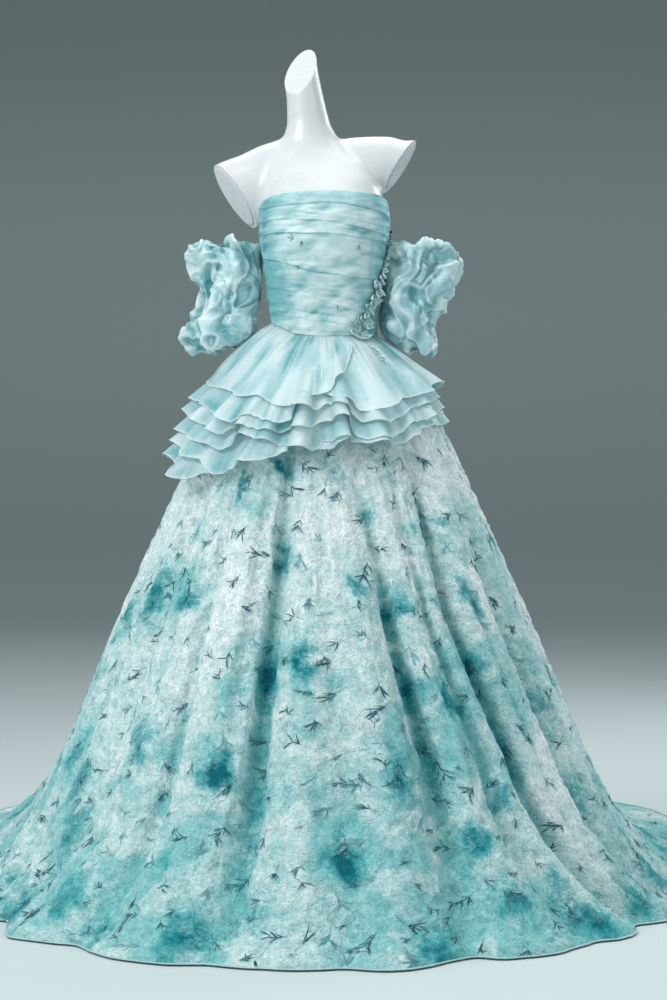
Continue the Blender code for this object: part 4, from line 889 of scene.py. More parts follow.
def organza(name, pale, deep, alpha, roughness=0.40):
    """Sheer crisp organza with painted light and shade, pale its lit colour and deep its shaded one: tint red
    paints light on the ridges, green paints shade in the folds, blue whitens the hems and leaf rims and paints
    highlights on the sleeves' crest lines.
    """
    made, tree, shader = surface_nodes(name, roughness, 0.12, alpha, 0.35)
    painted_ridge_light, painted_fold_shade, edge = tint_channels(tree)
    streak = noise_node(tree, 0.030, 4.0, 1.6, (1.0, 1.0, 0.55))
    fine = noise_node(tree, 0.0016, 2.0, 0.0)
    # The streaks and the red channel run the colour from the shaded deep tone to the lit pale one: painted
    # light, shade and streaks of sheen.
    height = scaled(tree, streak, 0.50, scaled(tree, painted_ridge_light, 1.0, -0.25))
    middle = tuple(0.45 * a + 0.55 * b for a, b in zip(deep, pale))
    colour = ramp(tree, height, ((0.08, deep), (0.46, middle), (0.88, pale)))
    # Painted shade in the folds.
    painted_shade = tuple(c * share for c, share in zip(deep, (0.56, 0.76, 0.77)))
    colour = mix(tree, scaled(tree, painted_fold_shade, 0.85), colour, painted_shade)
    colour = mix(tree, edge, colour, (226, 242, 244))
    speck = ramp(tree, fine, ((0.30, (236, 240, 240)), (0.70, (255, 255, 255))))
    colour = mix(tree, 0.6, colour, speck, "MULTIPLY")
    tree.links.new(colour, shader.inputs["Base Color"])
    first = bump_into(tree, shader, noise_node(tree, 0.011, 3.0, 1.6), 0.0016, 0.45)
    bump_into(tree, shader, fine, WEAVE_DEPTH, 0.4, first)
    return made


def bodice_cloth(name):
    """Sheer aqua drapes over the pale print: tint red is aqua, green the washes, blue the painted light on the
    pleat ridges and the painted shadow under the drape edges.
    """
    made, tree, shader = surface_nodes(name, 0.54, 0.08, gloss=0.28)
    aqua, wash, painted_ridge_light = tint_channels(tree)
    streak = noise_node(tree, 0.020, 3.0, 1.4, (0.45, 0.45, 1.9))
    blot = noise_node(tree, 0.036, 4.0, 1.4)
    # The streaks and the blue channel run the colour and its aqua tone from dark to light: painted light and
    # shade.
    height = scaled(tree, streak, 0.40, scaled(tree, painted_ridge_light, 0.70))
    colour = ramp(tree, height, ((0.12, (98, 154, 159)), (0.34, (160, 200, 202)), (0.56, (200, 222, 223)),
                                 (0.90, (230, 242, 242))))
    spread = scaled(tree, blot, 1.5, -0.75)
    share = scaled(tree, spread, 0.40, aqua, clamp=True)
    tone = mix(tree, height, (30, 120, 130), (126, 198, 202))
    colour = mix(tree, scaled(tree, share, 0.86), colour, tone)
    patch = scaled(tree, spread, 0.55, wash, clamp=True)
    colour = mix(tree, scaled(tree, patch, 0.80), colour, (70, 152, 160))
    tree.links.new(colour, shader.inputs["Base Color"])
    first = bump_into(tree, shader, streak, 0.0018, 0.45)
    bump_into(tree, shader, noise_node(tree, 0.0016, 2.0, 0.0), 0.0004, 0.4, first)
    return made


def plain_cloth(name, colour, roughness):
    """Even cloth with a fine grain, for hems and cord."""
    made, tree, shader = surface_nodes(name, roughness, 0.3)
    darker = tuple(c * 0.86 for c in colour)
    light = ramp(tree, noise_node(tree, 0.004, 2.0, 0.5), ((0.25, darker), (0.75, colour)))
    tree.links.new(light, shader.inputs["Base Color"])
    bump_into(tree, shader, noise_node(tree, 0.0013, 2.0, 0.0), 0.0004, 0.5)
    return made


def printed_ink(name, roughness):
    """Ink of the leaf print, broken up where the fluff of the cloth covers it."""
    made, tree, shader = surface_nodes(name, roughness, 0.05, gloss=0.14)
    source = place(tree, "ShaderNodeAttribute", attribute_name="tint")
    cover = ramp(tree, noise_node(tree, 0.0075, 3.0, 1.8), ((0.46, (0, 0, 0)), (0.68, (180, 180, 180))))
    tree.links.new(mix(tree, cover, source.outputs["Color"], (150, 208, 212)), shader.inputs["Base Color"])
    bump_into(tree, shader, noise_node(tree, 0.0045, 3.0, 1.8), 0.0024, 0.6)
    return made


def smooth_shell(name, colour, roughness, coat=0.0):
    """Moulded, painted or glassy surface with slight wear in its gloss."""
    made, tree, shader = surface_nodes(name, roughness)
    duller = tuple(c * 0.985 for c in colour)
    tone = ramp(tree, noise_node(tree, 0.22, 2.0, 0.2), ((0.3, duller), (0.7, colour)))
    tree.links.new(tone, shader.inputs["Base Color"])
    shader.inputs["Coat Weight"].default_value = coat
    shader.inputs["Coat Roughness"].default_value = 0.25
    smoother, rougher = (roughness * 225,) * 3, (roughness * 285,) * 3
    wear = ramp(tree, noise_node(tree, 0.035, 3.0, 0.0), ((0.3, smoother), (0.7, rougher)))
    tree.links.new(wear, shader.inputs["Roughness"])
    bump_into(tree, shader, noise_node(tree, 0.012, 2.0, 0.0), 0.0003, 0.12)
    return made


PRINT = printed_cloth("printed_fluffy_organza")
SHEER = organza("aqua_sheer_organza", (228, 246, 249), (122, 194, 200), 0.68)
PUFF = organza("aqua_crumpled_organza", (226, 246, 249), (130, 196, 201), 0.90, 0.33)
DRAPE = bodice_cloth("draped_bodice_organza")
HEM = plain_cloth("pale_rolled_hem", (226, 244, 246), 0.5)
SKIRT_HEM = plain_cloth("aqua_rolled_hem", (164, 208, 210), 0.6)
LEAF = organza("applique_leaf_organza", (214, 238, 240), (108, 172, 178), 1.0)
INK = printed_ink("printed_leaf_ink", 0.85)
BEAD = smooth_shell("dark_teal_bead", (24, 60, 66), 0.18)
STEM = plain_cloth("teal_applique_cord", (92, 142, 148), 0.5)
FORM = smooth_shell("white_form_shell", (213, 217, 218), 0.58, 0.04)
STAND = smooth_shell("white_painted_steel", (216, 220, 222), 0.38, 0.2)


# Skirt: one fine surface, split into its four panels
def column_run(panels):
    """Angles of all the columns round a piece, from the panels' first and last angles and their counts."""
    runs = [np.linspace(first, last, count + 1)[:-1] for _, first, last, count in panels]
    return np.concatenate(runs + [np.array([panels[-1][2]])])


# Panels round the skirt: first and last angle, number of columns
PANELS = (
    ("skirt_front", -51, 38, 300),
    ("skirt_side_right", 38, 122, 140),
    ("skirt_back_train", 122, 234, 130),
    ("skirt_side_left", 234, 309, 125),
)
columns = column_run(PANELS)
levels = np.linspace(0, 1, 258)
around, down = np.meshgrid(columns, levels, indexing="ij")
smooth_skirt = skirt_point(around, down)
normal = grid_normals(smooth_skirt)

# Creases in the bottoms of the large folds: angle, width in degrees, depth in mm, first level
CREASES = (
    (-14, 2.0, 24, 0.26), (-17, 1.4, -6, 0.30), (12, 1.9, 22, 0.33), (14.5, 1.2, -6, 0.36),
    (38, 1.8, 18, 0.28), (27, 1.6, 13, 0.28), (30, 1.1, -6, 0.30), (-51, 1.8, 4, 0.34), (57, 1.7, 13, 0.38),
    (-1, 1.6, 7, 0.42), (-33, 1.8, 13, 0.30), (-24, 1.5, 6, 0.48), (20, 1.4, 6, 0.46), (5.5, 1.3, 5, 0.52),
    (46, 1.5, 8, 0.40), (-42, 1.7, 8, 0.36), (-60, 1.8, 9, 0.36), (73, 1.8, 11, 0.38), (90, 2.0, 12, 0.36),
    (106, 2.0, 12, 0.38), (122, 2.0, 8, 0.40), (140, 2.1, 14, 0.36), (158, 2.1, 14, 0.38),
    (177, 2.1, 15, 0.36), (-161, 2.1, 14, 0.38), (-143, 2.1, 14, 0.36), (-126, 2.0, 8, 0.42),
    (-102, 2.0, 12, 0.38), (-86, 1.9, 11, 0.36), (-68, 1.9, 11, 0.38),
)
crease = np.zeros(around.shape)
for angle, width, depth, first_level in CREASES:
    wander = 1.3 * np.sin(down * 7.0 + angle) * soft_step(down, first_level, 0.9)
    fading = 0.72 + 0.28 * np.sin(down * 9.0 + angle * 1.7)
    reach = bump(wrap(around) + wander, angle, width * (0.66 + 0.30 * down))
    begun = soft_step(down, first_level - 0.06, first_level + 0.20)
    crease = crease - depth * MM * reach * fading * begun
soft_folds = 0.0060 * round_noise(around, down, 5.5, 0.45, 3)
soft_folds = soft_folds + 0.0034 * round_noise(around, down, 2.4, 0.24, 5)
soft_folds = soft_folds * soft_step(down, 0.12, 0.35)
skirt = smooth_skirt + normal * (crease + soft_folds)[..., None]

# Fluff: curled tufts of 10 to 20 mm
swirl = noise_vectors(skirt, 0.040, (11, 12, 13)) * 0.014
curls = 1 - np.abs(noise3(skirt + swirl, 0.020, 21)) * 2.2
tufts = 1 - np.abs(noise3(skirt + swirl * 1.4, 0.0115, 22)) * 2.2
fluff = 0.55 * curls + 0.45 * tufts
fade = soft_step(down, 0.02, 0.10) * (0.35 + 0.65 * soft_step(1 - down, 0.0, 0.02))
skirt = skirt + normal * (FLUFF_HEIGHT * fluff * fade)[..., None]
skirt[..., 2] = np.maximum(skirt[..., 2], FLOOR_CLEAR)

# Watercolour washes of the front: angle, level, half width in mm, strength
WASHES = (
    (-56, 0.50, 38, 0.9), (-40, 0.50, 24, 0.9), (-34, 0.36, 18, 0.9), (-15, 0.34, 20, 1.0),
    (-6, 0.57, 26, 1.1), (7, 0.48, 22, 0.8), (16, 0.51, 24, 0.8), (39, 0.41, 24, 1.1), (44, 0.50, 26, 1.0),
    (40, 0.58, 22, 0.7), (-21, 0.69, 30, 1.1), (6, 0.69, 30, 1.0), (-62, 0.72, 40, 0.8),
    (-54, 0.78, 40, 0.8), (-1, 0.79, 36, 1.1), (16, 0.78, 28, 0.8), (19, 0.85, 32, 0.8),
    (-17, 0.91, 44, 0.9), (8, 0.985, 40, 0.8), (28, 0.95, 44, 0.9), (3, 0.35, 18, 0.6),
    (-13, 0.46, 18, 0.8), (-14, 0.58, 22, 1.0), (24, 0.62, 24, 1.0), (-33, 0.63, 20, 0.5),
    (-40, 0.87, 40, 0.7), (30, 0.84, 26, 0.6), (43, 0.91, 34, 0.8), (26, 0.36, 16, 0.7),
    (-26, 0.80, 22, 0.5), (-44, 0.66, 30, 0.8), (61, 0.63, 34, 0.8), (13, 0.60, 20, 0.7),
    (9, 0.89, 26, 0.6), (-8, 0.71, 18, 0.6), (58, 0.74, 34, 0.7), (52, 0.86, 40, 0.8), (-9, 0.84, 26, 0.5),
    (34, 0.50, 18, 0.7), (-50, 0.94, 44, 0.8), (14, 0.40, 14, 0.7), (-47, 0.42, 20, 0.7),
    (27, 0.72, 26, 0.7), (-30, 0.95, 36, 0.6), (36, 0.68, 24, 0.7),
)
# Washes of the hidden sides, placed by chance, and how much longer each wash is down the cloth than across
SEEDED_WASHES = 88
WASH_STRETCH = 1.6
warp = noise_vectors(smooth_skirt, 0.060, (31, 32, 33)) * 0.022
warp = warp + noise_vectors(smooth_skirt, 0.020, (34, 35, 36)) * 0.014
marks = list(WASHES)
chance = np.random.RandomState(17)
while len(marks) < len(WASHES) + SEEDED_WASHES:
    marks.append((chance.uniform(66, 292), chance.uniform(0.18, 1.0) ** 0.7, chance.uniform(22, 44),
                  chance.uniform(0.5, 1.0)))

wash = np.zeros(around.shape)
clear = np.ones(around.shape)
for angle, level, half_width, strength in marks:
    centre = skirt_point(np.array(float(angle)), np.array(level))
    run = skirt_point(np.array(float(angle)), np.array(min(level + 0.02, 1.02))) - centre
    run = run / max(np.linalg.norm(run), 1e-9)
    offset = smooth_skirt + warp - centre
    along = offset @ run
    away = np.sum(offset * offset, axis=-1) - along ** 2 * (1 - WASH_STRETCH ** -2)
    away = np.sqrt(np.maximum(away, 0)) / (half_width * MM)
    wash = np.maximum(wash, strength * np.exp(-(away / 1.05) ** 2))
    clear = clear * (1 - 0.42 * min(strength, 1.0) * np.exp(-(away / 2.7) ** 2))

# Shares of the aqua wash, the deep wash and the fluff at each point, with painted shade deepening both washes
# in the crease bottoms
clouds = 0.5 * noise3(smooth_skirt, 0.150, 41) + 0.35 * noise3(smooth_skirt + warp, 0.062, 42)
aqua = 0.95 * (1 - clear) + 0.85 * soft_step(clouds, -0.24, 0.50)
# Depth of the creases, used to deepen the washes there as painted shade
painted_crease_shade = np.clip(-crease / 0.020, 0, 1) ** 1.4
paler_right = soft_step(around, 26, 50) * (1 - soft_step(around, 74, 96))
deeper_low = np.exp(-((around - 4) / 17) ** 2) * soft_step(down, 0.50, 0.78)
clumps = soft_step(noise3(smooth_skirt + warp * 0.6, 0.040, 44), 0.02, 0.42) * (1 - 0.7 * wash)
aqua = np.clip(aqua + 0.75 * painted_crease_shade - 0.30 * paler_right + 0.32 * deeper_low, 0, 1) * (1 - 0.50 * clumps)
aqua = np.clip(aqua + 0.10 * soft_step(down, 0.5, 0.8), 0, 1)
wash = np.clip(wash + 0.52 * painted_crease_shade * (0.6 + clouds) + 0.16 * painted_crease_shade ** 3, 0, 1)
skirt_tint = np.stack([wash, aqua, np.clip(0.5 + 0.5 * fluff, 0, 1)], axis=-1)


def column_at(angle):
    """Place of an angle in the run of columns."""
    return np.interp((np.asarray(angle) - columns[0]) % 360.0 + columns[0], columns, np.arange(len(columns)))


def on_skirt(angle, level, lift):
    """Point on the finished skirt by angle and level, lifted off the cloth."""
    point, i, j = blend_cells(skirt, column_at(angle), np.clip(np.asarray(level), 0, 1) * (len(levels) - 1))
    return point + normal[i, j] * lift


# Printed sprigs of slender pointed leaves
def leaf_rows(length, width, bend, rows=4):
    """Half outline of one leaf in mm, along its own axis."""
    along = np.linspace(0, 1, rows)
    half = width / 2 * np.sin(np.clip(along * 1.08, 0, 1) * math.pi) ** 0.8
    half[0] = width * 0.10
    half[-1] = 0.05
    return along * length, half, bend * along ** 2 * length


# Narrowest and widest leaf as a share of its length, its bend either way and the fan of a joint in degrees
LEAF_WIDTH = (0.085, 0.135)
LEAF_BEND = 0.30
FAN = 52
STEM_WIDTH = 0.7


def sprig(turn, size, draw):
    """Leaves fanned from the joints of one stem: origin, heading, length, width and bend of each, in mm."""
    stem = size * draw.uniform(0.7, 2.0)
    bend = draw.uniform(-0.35, 0.35)
    head = math.radians(turn)
    strips = [((0.0, 0.0), turn, stem, STEM_WIDTH, bend)]
    for joint in range(int(draw.choice((1, 2, 2, 3)))):
        share = 1.0 - 0.36 * joint
        side = bend * share ** 2 * stem
        origin = (math.cos(head) * share * stem - math.sin(head) * side,
                  math.sin(head) * share * stem + math.cos(head) * side)
        for _ in range(int(draw.choice((3, 3, 4, 5)))):
            length = size * draw.uniform(0.75, 1.45) * (1 - 0.10 * joint)
            strips.append((origin, turn + 50 * bend + draw.uniform(-FAN, FAN), length,
                           length * draw.uniform(*LEAF_WIDTH), draw.uniform(-LEAF_BEND, LEAF_BEND)))
    return strips


INKS = tuple(np.array(linear(ink)) for ink in ((34, 80, 92), (50, 100, 112), (74, 130, 140), (108, 166, 172)))
HEADINGS = (100, 80, 130, 160, 200, 40, 120, -60)
SPRIG_TRIES = 4200


def leaf_faces(base, rows):
    """Faces of one leaf whose edge points are laid in pairs from a first index."""
    return [(a, a + 1, a + 3, a + 2) for a in range(base, base + 2 * (rows - 1), 2)]


def printed_sprigs(name, first, last, spacing, seed):
    """Sprigs over one panel, kept apart and thicker on the washed parts."""
    draw = np.random.RandomState(seed)
    vertices, faces, colours = [], [], []
    taken = []
    for _ in range(SPRIG_TRIES):
        angle = draw.uniform(first, last)
        level = 0.16 + 0.82 * draw.uniform(0, 1) ** 0.62
        if draw.uniform(0, 1) > 0.30 + aqua[int(column_at(angle)), int(level * (len(levels) - 1))]:
            continue
        centre = on_skirt(angle, level, 0.0)
        if taken:
            nearest = np.min(np.linalg.norm(np.array(taken) - centre, axis=1))
            if nearest < spacing * draw.uniform(0.40, 1.30):
                continue
        taken.append(centre)
        radius = float(np.hypot(centre[0], centre[1]))
        per_level = max(float(np.linalg.norm(on_skirt(angle, level + 0.02, 0.0) - centre)) / 0.02, 0.4)
        per_degree = radius * math.pi / 180
        ink = INKS[int(draw.choice((0, 0, 1, 1, 2, 3)))]
        size = draw.uniform(9, 19)
        turn = draw.choice(HEADINGS) + draw.uniform(-35, 35)
        for origin, heading, length, width, bend in sprig(turn, size, draw):
            along, half, off = leaf_rows(length, width, bend)
            head = math.radians(heading)
            axis = np.array((math.cos(head), math.sin(head)))
            across = np.array((-axis[1], axis[0]))
            shade = ink * draw.uniform(0.8, 1.35)
            base = len(vertices)
            for k in range(len(along)):
                for side in (-1, 1):
                    spot = np.array(origin) + axis * along[k] + across * (off[k] + side * half[k])
                    vertices.append((angle + spot[0] * MM / per_degree, level + spot[1] * MM / per_level))
                    colours.append(shade)
            faces += leaf_faces(base, len(along))
    vertices = np.array(vertices)
    points = on_skirt(vertices[:, 0], vertices[:, 1], PRINT_LIFT)
    return faces_piece(name, points, faces, INK, np.array(colours))


# Each panel with its printed leaves and the thin roll of its hem, settled on the floor
settled = soft_step(down, 0.955, 1.0)
skirt[..., 2] -= settled * (skirt[:, -1:, 2] - HEM_REST)
LEAF_SPACING = {"skirt_front": 0.074, "skirt_side_right": 0.084, "skirt_back_train": 0.110,
                "skirt_side_left": 0.084}
start = 0
for order, (panel, first, last, count) in enumerate(PANELS):
    part_points = skirt[start:start + count + 1].copy()
    for edge, beside in ((0, 1), (-1, -2)):
        step = part_points[beside] - part_points[edge]
        part_points[edge] += step / np.maximum(np.linalg.norm(step, axis=-1, keepdims=True), 1e-9) * SEAM_EASE
    made = cloth(panel + "_cloth", part_points, PRINT, "printed_organza", (panel,),
                 tint=skirt_tint[start:start + count + 1])
    leaves = printed_sprigs(panel.replace("skirt_", "leaf_print_"), first, last, LEAF_SPACING[panel],
                            101 + order)
    hem_line = part_points[:, -1] + np.array((0, 0, 0.0008))
    hem = cord(panel + "_hem", hem_line[::2], SKIRT_HEM_RADIUS, SKIRT_HEM, "printed_organza", 6)
    start += count


# Tube-like flutes of the peplum's tiers: angle, half width in degrees, reach in mm
TUBE_FLUTES = (
    (-8.2, 2.9, 19), (7.2, 2.4, 16), (-47, 3.4, 9), (-33, 2.8, 7), (21, 3.2, 9), (-64, 3.4, 8), (37, 3.0, 7),
    (-21, 2.6, 6), (54, 3.2, 8), (72, 3.4, 9), (-84, 3.4, 9), (110, 3.4, 9), (146, 3.4, 9), (-152, 3.4, 9),
    (-117, 3.4, 9),
)
COLUMN_STEP = 0.57


def tier_cloth(name, first, last, seed):
    """One gathered sheer ruffle with its thin rolled hem."""
    upper = name.startswith("peplum")
    rows = 46 if upper else 32
    count = max(60, int((last - first) / COLUMN_STEP))
    t, s = np.meshgrid(np.linspace(first, last, count + 1), np.linspace(0, 1, rows), indexing="ij")
    points = tier_point(name, t, s)
    out = grid_normals(points)
    sway = 5.0 * plane_noise(t, s, 16.0, 0.6, seed + 9) * s
    broad = plane_noise(t + sway, s, 8.0, 0.9, seed)
    narrow = plane_noise(t + sway, s, 3.4, 0.6, seed + 1)
    fine = plane_noise(t + sway * 0.4, s, 1.7, 0.5, seed + 5)
    reach_down = 0.55 + 0.45 * plane_noise(t, s * 0, 2.6, 1.0, seed + 6)
    near_top = 1 - soft_step(s / np.maximum(reach_down, 0.12), 0.15, 1.0)
    patches = plane_noise(t + sway, s, 5.5, 0.34, seed + 7)
    gathers = 0.50 * broad + 0.50 * narrow * (0.35 + 0.65 * near_top)
    gathers = gathers + 0.60 * fine * (0.25 + 0.75 * near_top)
    size = 0.0032 if upper else 0.0022
    lift = size * np.clip(0.45 + gathers, 0, 1.5) * soft_step(s, 0.0, 0.16)
    lift = lift + 0.0016 * patches * soft_step(s, 0.1, 0.5)
    tubes = np.zeros(t.shape)
    sides = np.zeros(t.shape)
    drop = soft_step(s, 0.35, 1.0)
    for angle, half_width, reach in TUBE_FLUTES:
        tubes = tubes + reach * MM * bump(t, angle, half_width) * drop
        for side in (-1, 1):
            sides = sides + bump(t, angle + side * half_width * 1.5, half_width * 0.55) * drop
    lift = lift + (0.45 * tubes if upper else tubes - 0.003 * sides)
    points = points + out * lift[..., None]
    edge = soft_step(s, 0.95, 1.0)
    # Tint of the ruffle: painted light on the gathers and tubes, painted shade between the gathers, under the
    # tier's top and beside each tube, and a paler band at the hem
    painted_ridge_light = np.clip((0.64 if upper else 0.56) + 0.50 * gathers + 0.34 * patches + 14.0 * tubes, 0, 1)
    painted_fold_shade = np.clip(-0.9 * gathers * (0.4 + 0.6 * near_top) - 0.25 * patches - 0.22, 0, 1)
    painted_fold_shade = painted_fold_shade * (0.75 if upper else 1.0)
    painted_fold_shade = np.clip(painted_fold_shade + 0.50 * np.exp(-s / 0.04) + 0.36 * sides * (0.4 if upper else 1.0), 0, 1)
    tint = np.stack([painted_ridge_light, painted_fold_shade * (1 - edge), 0.45 * edge], axis=-1)
    made = cloth(name + "_cloth", points, SHEER, "sheer_organza", (name,), tint=tint)
    line = np.concatenate([points[0, rows // 2::3], points[:, -1], points[-1, -2:rows // 2:-3]])
    return made, name, cord(name + "_hem", line, RUFFLE_HEM_RADIUS, HEM, "sheer_organza")


for order, tier in enumerate(TIER_ORDER):
    tier_cloth(tier, TIER_HEMS[tier][0][0], TIER_HEMS[tier][-1][0], 200 + order * 11)


# Panels of the bodice: first and last angle, number of columns
BODICE_PANELS = (
    ("bodice_front", -97, 52, 176),
    ("bodice_side_right", 52, 98, 50),
    ("bodice_back_right", 98, 180, 64),
    ("bodice_back_left", 180, 263, 64),
)
# Edges of the overlapping drapes: heights at -90, -45, 0, +45 and +90 degrees, reach in mm
DRAPES = (
    (1.092, 1.082, 1.084, 1.089, 1.094, 0.3), (1.122, 1.110, 1.098, 1.092, 1.090, 0.6),
    (1.146, 1.126, 1.112, 1.106, 1.104, 0.3), (1.180, 1.160, 1.136, 1.118, 1.112, 0.8),
    (1.196, 1.174, 1.158, 1.156, 1.164, 0.4), (1.240, 1.212, 1.189, 1.182, 1.180, 2.2),
    (1.250, 1.232, 1.216, 1.202, 1.192, 0.3), (1.276, 1.266, 1.262, 1.256, 1.252, 1.6),
    (1.294, 1.292, 1.286, 1.272, 1.262, 0.9), (1.308, 1.310, 1.298, 1.286, 1.270, 0.4),
    (1.326, 1.318, 1.322, 1.314, 1.294, 1.3), (1.334, 1.336, 1.318, 1.328, 1.312, 0.5),
)
DRAPE_ANGLES = (-90, -45, 0, 45, 90)
round_columns = column_run(BODICE_PANELS)
# How much of the solid's own pleat relief is kept
PLEAT_KEPT = 0.42

# The bodice surface: draped pleats with fine ruching
rise = np.linspace(0, 1, 176)
t, s = np.meshgrid(round_columns, rise, indexing="ij")
bodice = bodice_point(t, s)
plain = body_radius(t, bodice[..., 2])
pleated = np.hypot(bodice[..., 0], bodice[..., 1])
calmed = (plain + PLEAT_KEPT * (pleated - plain)) / pleated
bodice[..., 0] *= calmed
bodice[..., 1] *= calmed
out = -grid_normals(bodice)
turned = np.abs(wrap(t))
height = bodice[..., 2]
front_part = np.clip((104 - turned) / 16, 0, 1)
overlap = np.zeros(t.shape)
shadow = np.zeros(t.shape)
for *heights, reach in DRAPES:
    line = smooth_table(np.clip(wrap(t), -90, 90), DRAPE_ANGLES, heights)
    above = (height - line - 0.0022 * plane_noise(t, s * 0, 16, 1, 60)) / MM
    overlap = overlap + reach * MM * np.exp(-np.clip(above, 0, None) / 9.0) * soft_step(above, -0.4, 0.8)
    # Painted shadow just below each drape's edge, broken along its length
    broken = np.clip(0.75 + 0.6 * plane_noise(t, s * 0, 14, 1, int(heights[0] * 1000)), 0.1, 1.2)
    shadow = shadow + min(reach, 1.7) * 0.62 * broken * np.exp(-((above + 0.6) / 1.1) ** 2)
slope = height + 0.00012 * wrap(t) * np.exp(-((height - 1.20) / 0.09) ** 2)
ruche = round_noise(t, slope, 22, 0.0085, 51) * 0.6 + round_noise(t, slope, 11, 0.0045, 52) * 0.4
slow = round_noise(t, slope, 15, 0.021, 53)
fan = round_noise(t, height - 0.0004 * wrap(t), 13, 0.010, 54)
calm = soft_step(s, 0.0, 0.03) * soft_step(1 - s, 0.0, 0.02)
relief = (0.0013 * ruche + 0.0015 * slow + 0.0012 * fan) * calm + overlap * front_part * calm
bodice = bodice + out * relief[..., None]

# Its tints: the aqua of both sides and of the top band, darker patches on the sides, and the pleats' painted
# light and shade with a painted shadow under each drape edge
left_side = soft_step(-wrap(t), 26, 66) * soft_step(height, 1.070, 1.12)
right_side = soft_step(wrap(t), 40, 66)
top_band = soft_step(height - (bodice_top_z(t) - 0.034), 0, 0.018)
aqua_share = 0.04 + 0.95 * left_side + 0.98 * right_side + 0.44 * top_band + 0.28 * slow + 0.18 * fan
aqua_share = np.maximum(aqua_share, 0.62 * soft_step(turned, 80, 100))
# Darker patches: strength, angle, half width in degrees, height, half height
PATCHES = ((1.0, -52, 20, 1.165, 0.050), (0.8, 50, 12, 1.140, 0.045), (0.40, -12, 18, 1.178, 0.012),
           (0.45, 48, 3.2, 1.215, 0.050))
patch = np.zeros(t.shape)
for strength, angle, wide, patch_height, tall in PATCHES:
    patch = patch + strength * np.exp(-((t - angle) / wide) ** 2 - ((height - patch_height) / tall) ** 2)
shade = np.clip(0.53 + 0.40 * ruche + 0.38 * fan + 0.28 * slow - 1.1 * shadow * front_part, 0, 1)
bodice_tint = np.stack([np.clip(aqua_share, 0, 1), np.clip(patch * 0.75, 0, 1), shade], axis=-1)

outward = bodice[:, -1] * np.array((1, 1, 0))
outward = outward / np.linalg.norm(outward, axis=1, keepdims=True)
# Rolled top edge: drop and inward reach in metres
ROLL = ((-0.0010, 0.0008), (-0.0008, 0.0022), (0.0012, 0.0030), (0.006, 0.0031), (0.014, 0.0031))
rolls = [bodice[:, -1] - outward * reach - np.array((0, 0, 1.0)) * drop for drop, reach in ROLL]
rolled = np.concatenate([bodice] + [roll[:, None] for roll in rolls], axis=1)
rolled_tint = np.concatenate([bodice_tint] + [bodice_tint[:, -1:]] * len(rolls), axis=1)
start = 0
for panel, first, last, count in BODICE_PANELS:
    made = cloth(panel + "_cloth", rolled[start:start + count + 1], DRAPE, "draped_organza",
                 (panel,), upward=True, tint=rolled_tint[start:start + count + 1])
    start += count

# Small printed leaves that show through the drape: angle, height, heading, number of leaves
BODICE_LEAVES = (
    (-27, 1.254, 200, 3), (-20, 1.250, 100, 2), (33, 1.243, 95, 2), (-24, 1.202, 170, 2), (16, 1.130, 60, 1),
)
# Metres of bodice to one degree at the front
DEGREE_RUN = 0.0021
draw = np.random.RandomState(61)
vertices, faces, colours = [], [], []
for angle, leaf_height, turn, leaves in BODICE_LEAVES:
    for k in range(leaves):
        head = math.radians(turn + (k - (leaves - 1) / 2) * 42 + draw.uniform(-8, 8))
        axis = np.array((math.cos(head), -math.sin(head)))
        across = np.array((-axis[1], axis[0]))
        along, half, off = leaf_rows(draw.uniform(10, 15), 2.0, draw.uniform(-0.2, 0.2))
        base = len(vertices)
        for step in range(len(along)):
            for side in (-1, 1):
                spot = (axis * along[step] + across * (off[step] + side * half[step])) * MM
                u = np.interp(angle + spot[0] / DEGREE_RUN, round_columns, np.arange(len(round_columns)))
                u = int(round(u))
                v = np.interp(leaf_height + spot[1], bodice[u, :, 2], np.arange(len(rise)))
                low = int(v)
                on_cloth = bodice[u, low] + (bodice[u, low + 1] - bodice[u, low]) * (v - low)
                vertices.append(on_cloth + out[u, low] * 0.0006)
                colours.append(INKS[2] * draw.uniform(0.9, 1.3))
        faces += leaf_faces(base, len(along))
bodice_leaves = faces_piece("bodice_leaf_print", vertices, faces, INK, np.array(colours))


# Puff sleeves: crumpled tubes with gathered lips
def crests(points, scale, seed):
    """Sharp ridges from about -1 up to 1, with hollow faces between them."""
    return 1 - 3.0 * np.abs(noise3(points, scale, seed)) ** 0.85


def lapped_folds(points, scale, seed):
    """Folds with one sharp side and one slow side, the painted shadow line beside each and the painted
    highlight line on top.
    """
    field = noise3(points, scale, seed)
    edge = soft_step(field, -0.05, 0.04) * np.exp(-np.clip(field, 0, None) / 0.42)
    under = np.exp(-((field + 0.10) / 0.09) ** 2)
    painted_highlight_line = np.exp(-((field - 0.05) / 0.07) ** 2)
    return edge, under, painted_highlight_line


FAN_REACH = 0.024
# Feature sizes of the three runs of lapped folds, and the share of each
LAP_SCALES = ((0.047, 0.047, 0.084), (0.031, 0.031, 0.062), (0.046, 0.032, 0.028))
LAP_SHARES = (1.0, 0.60, 0.45)


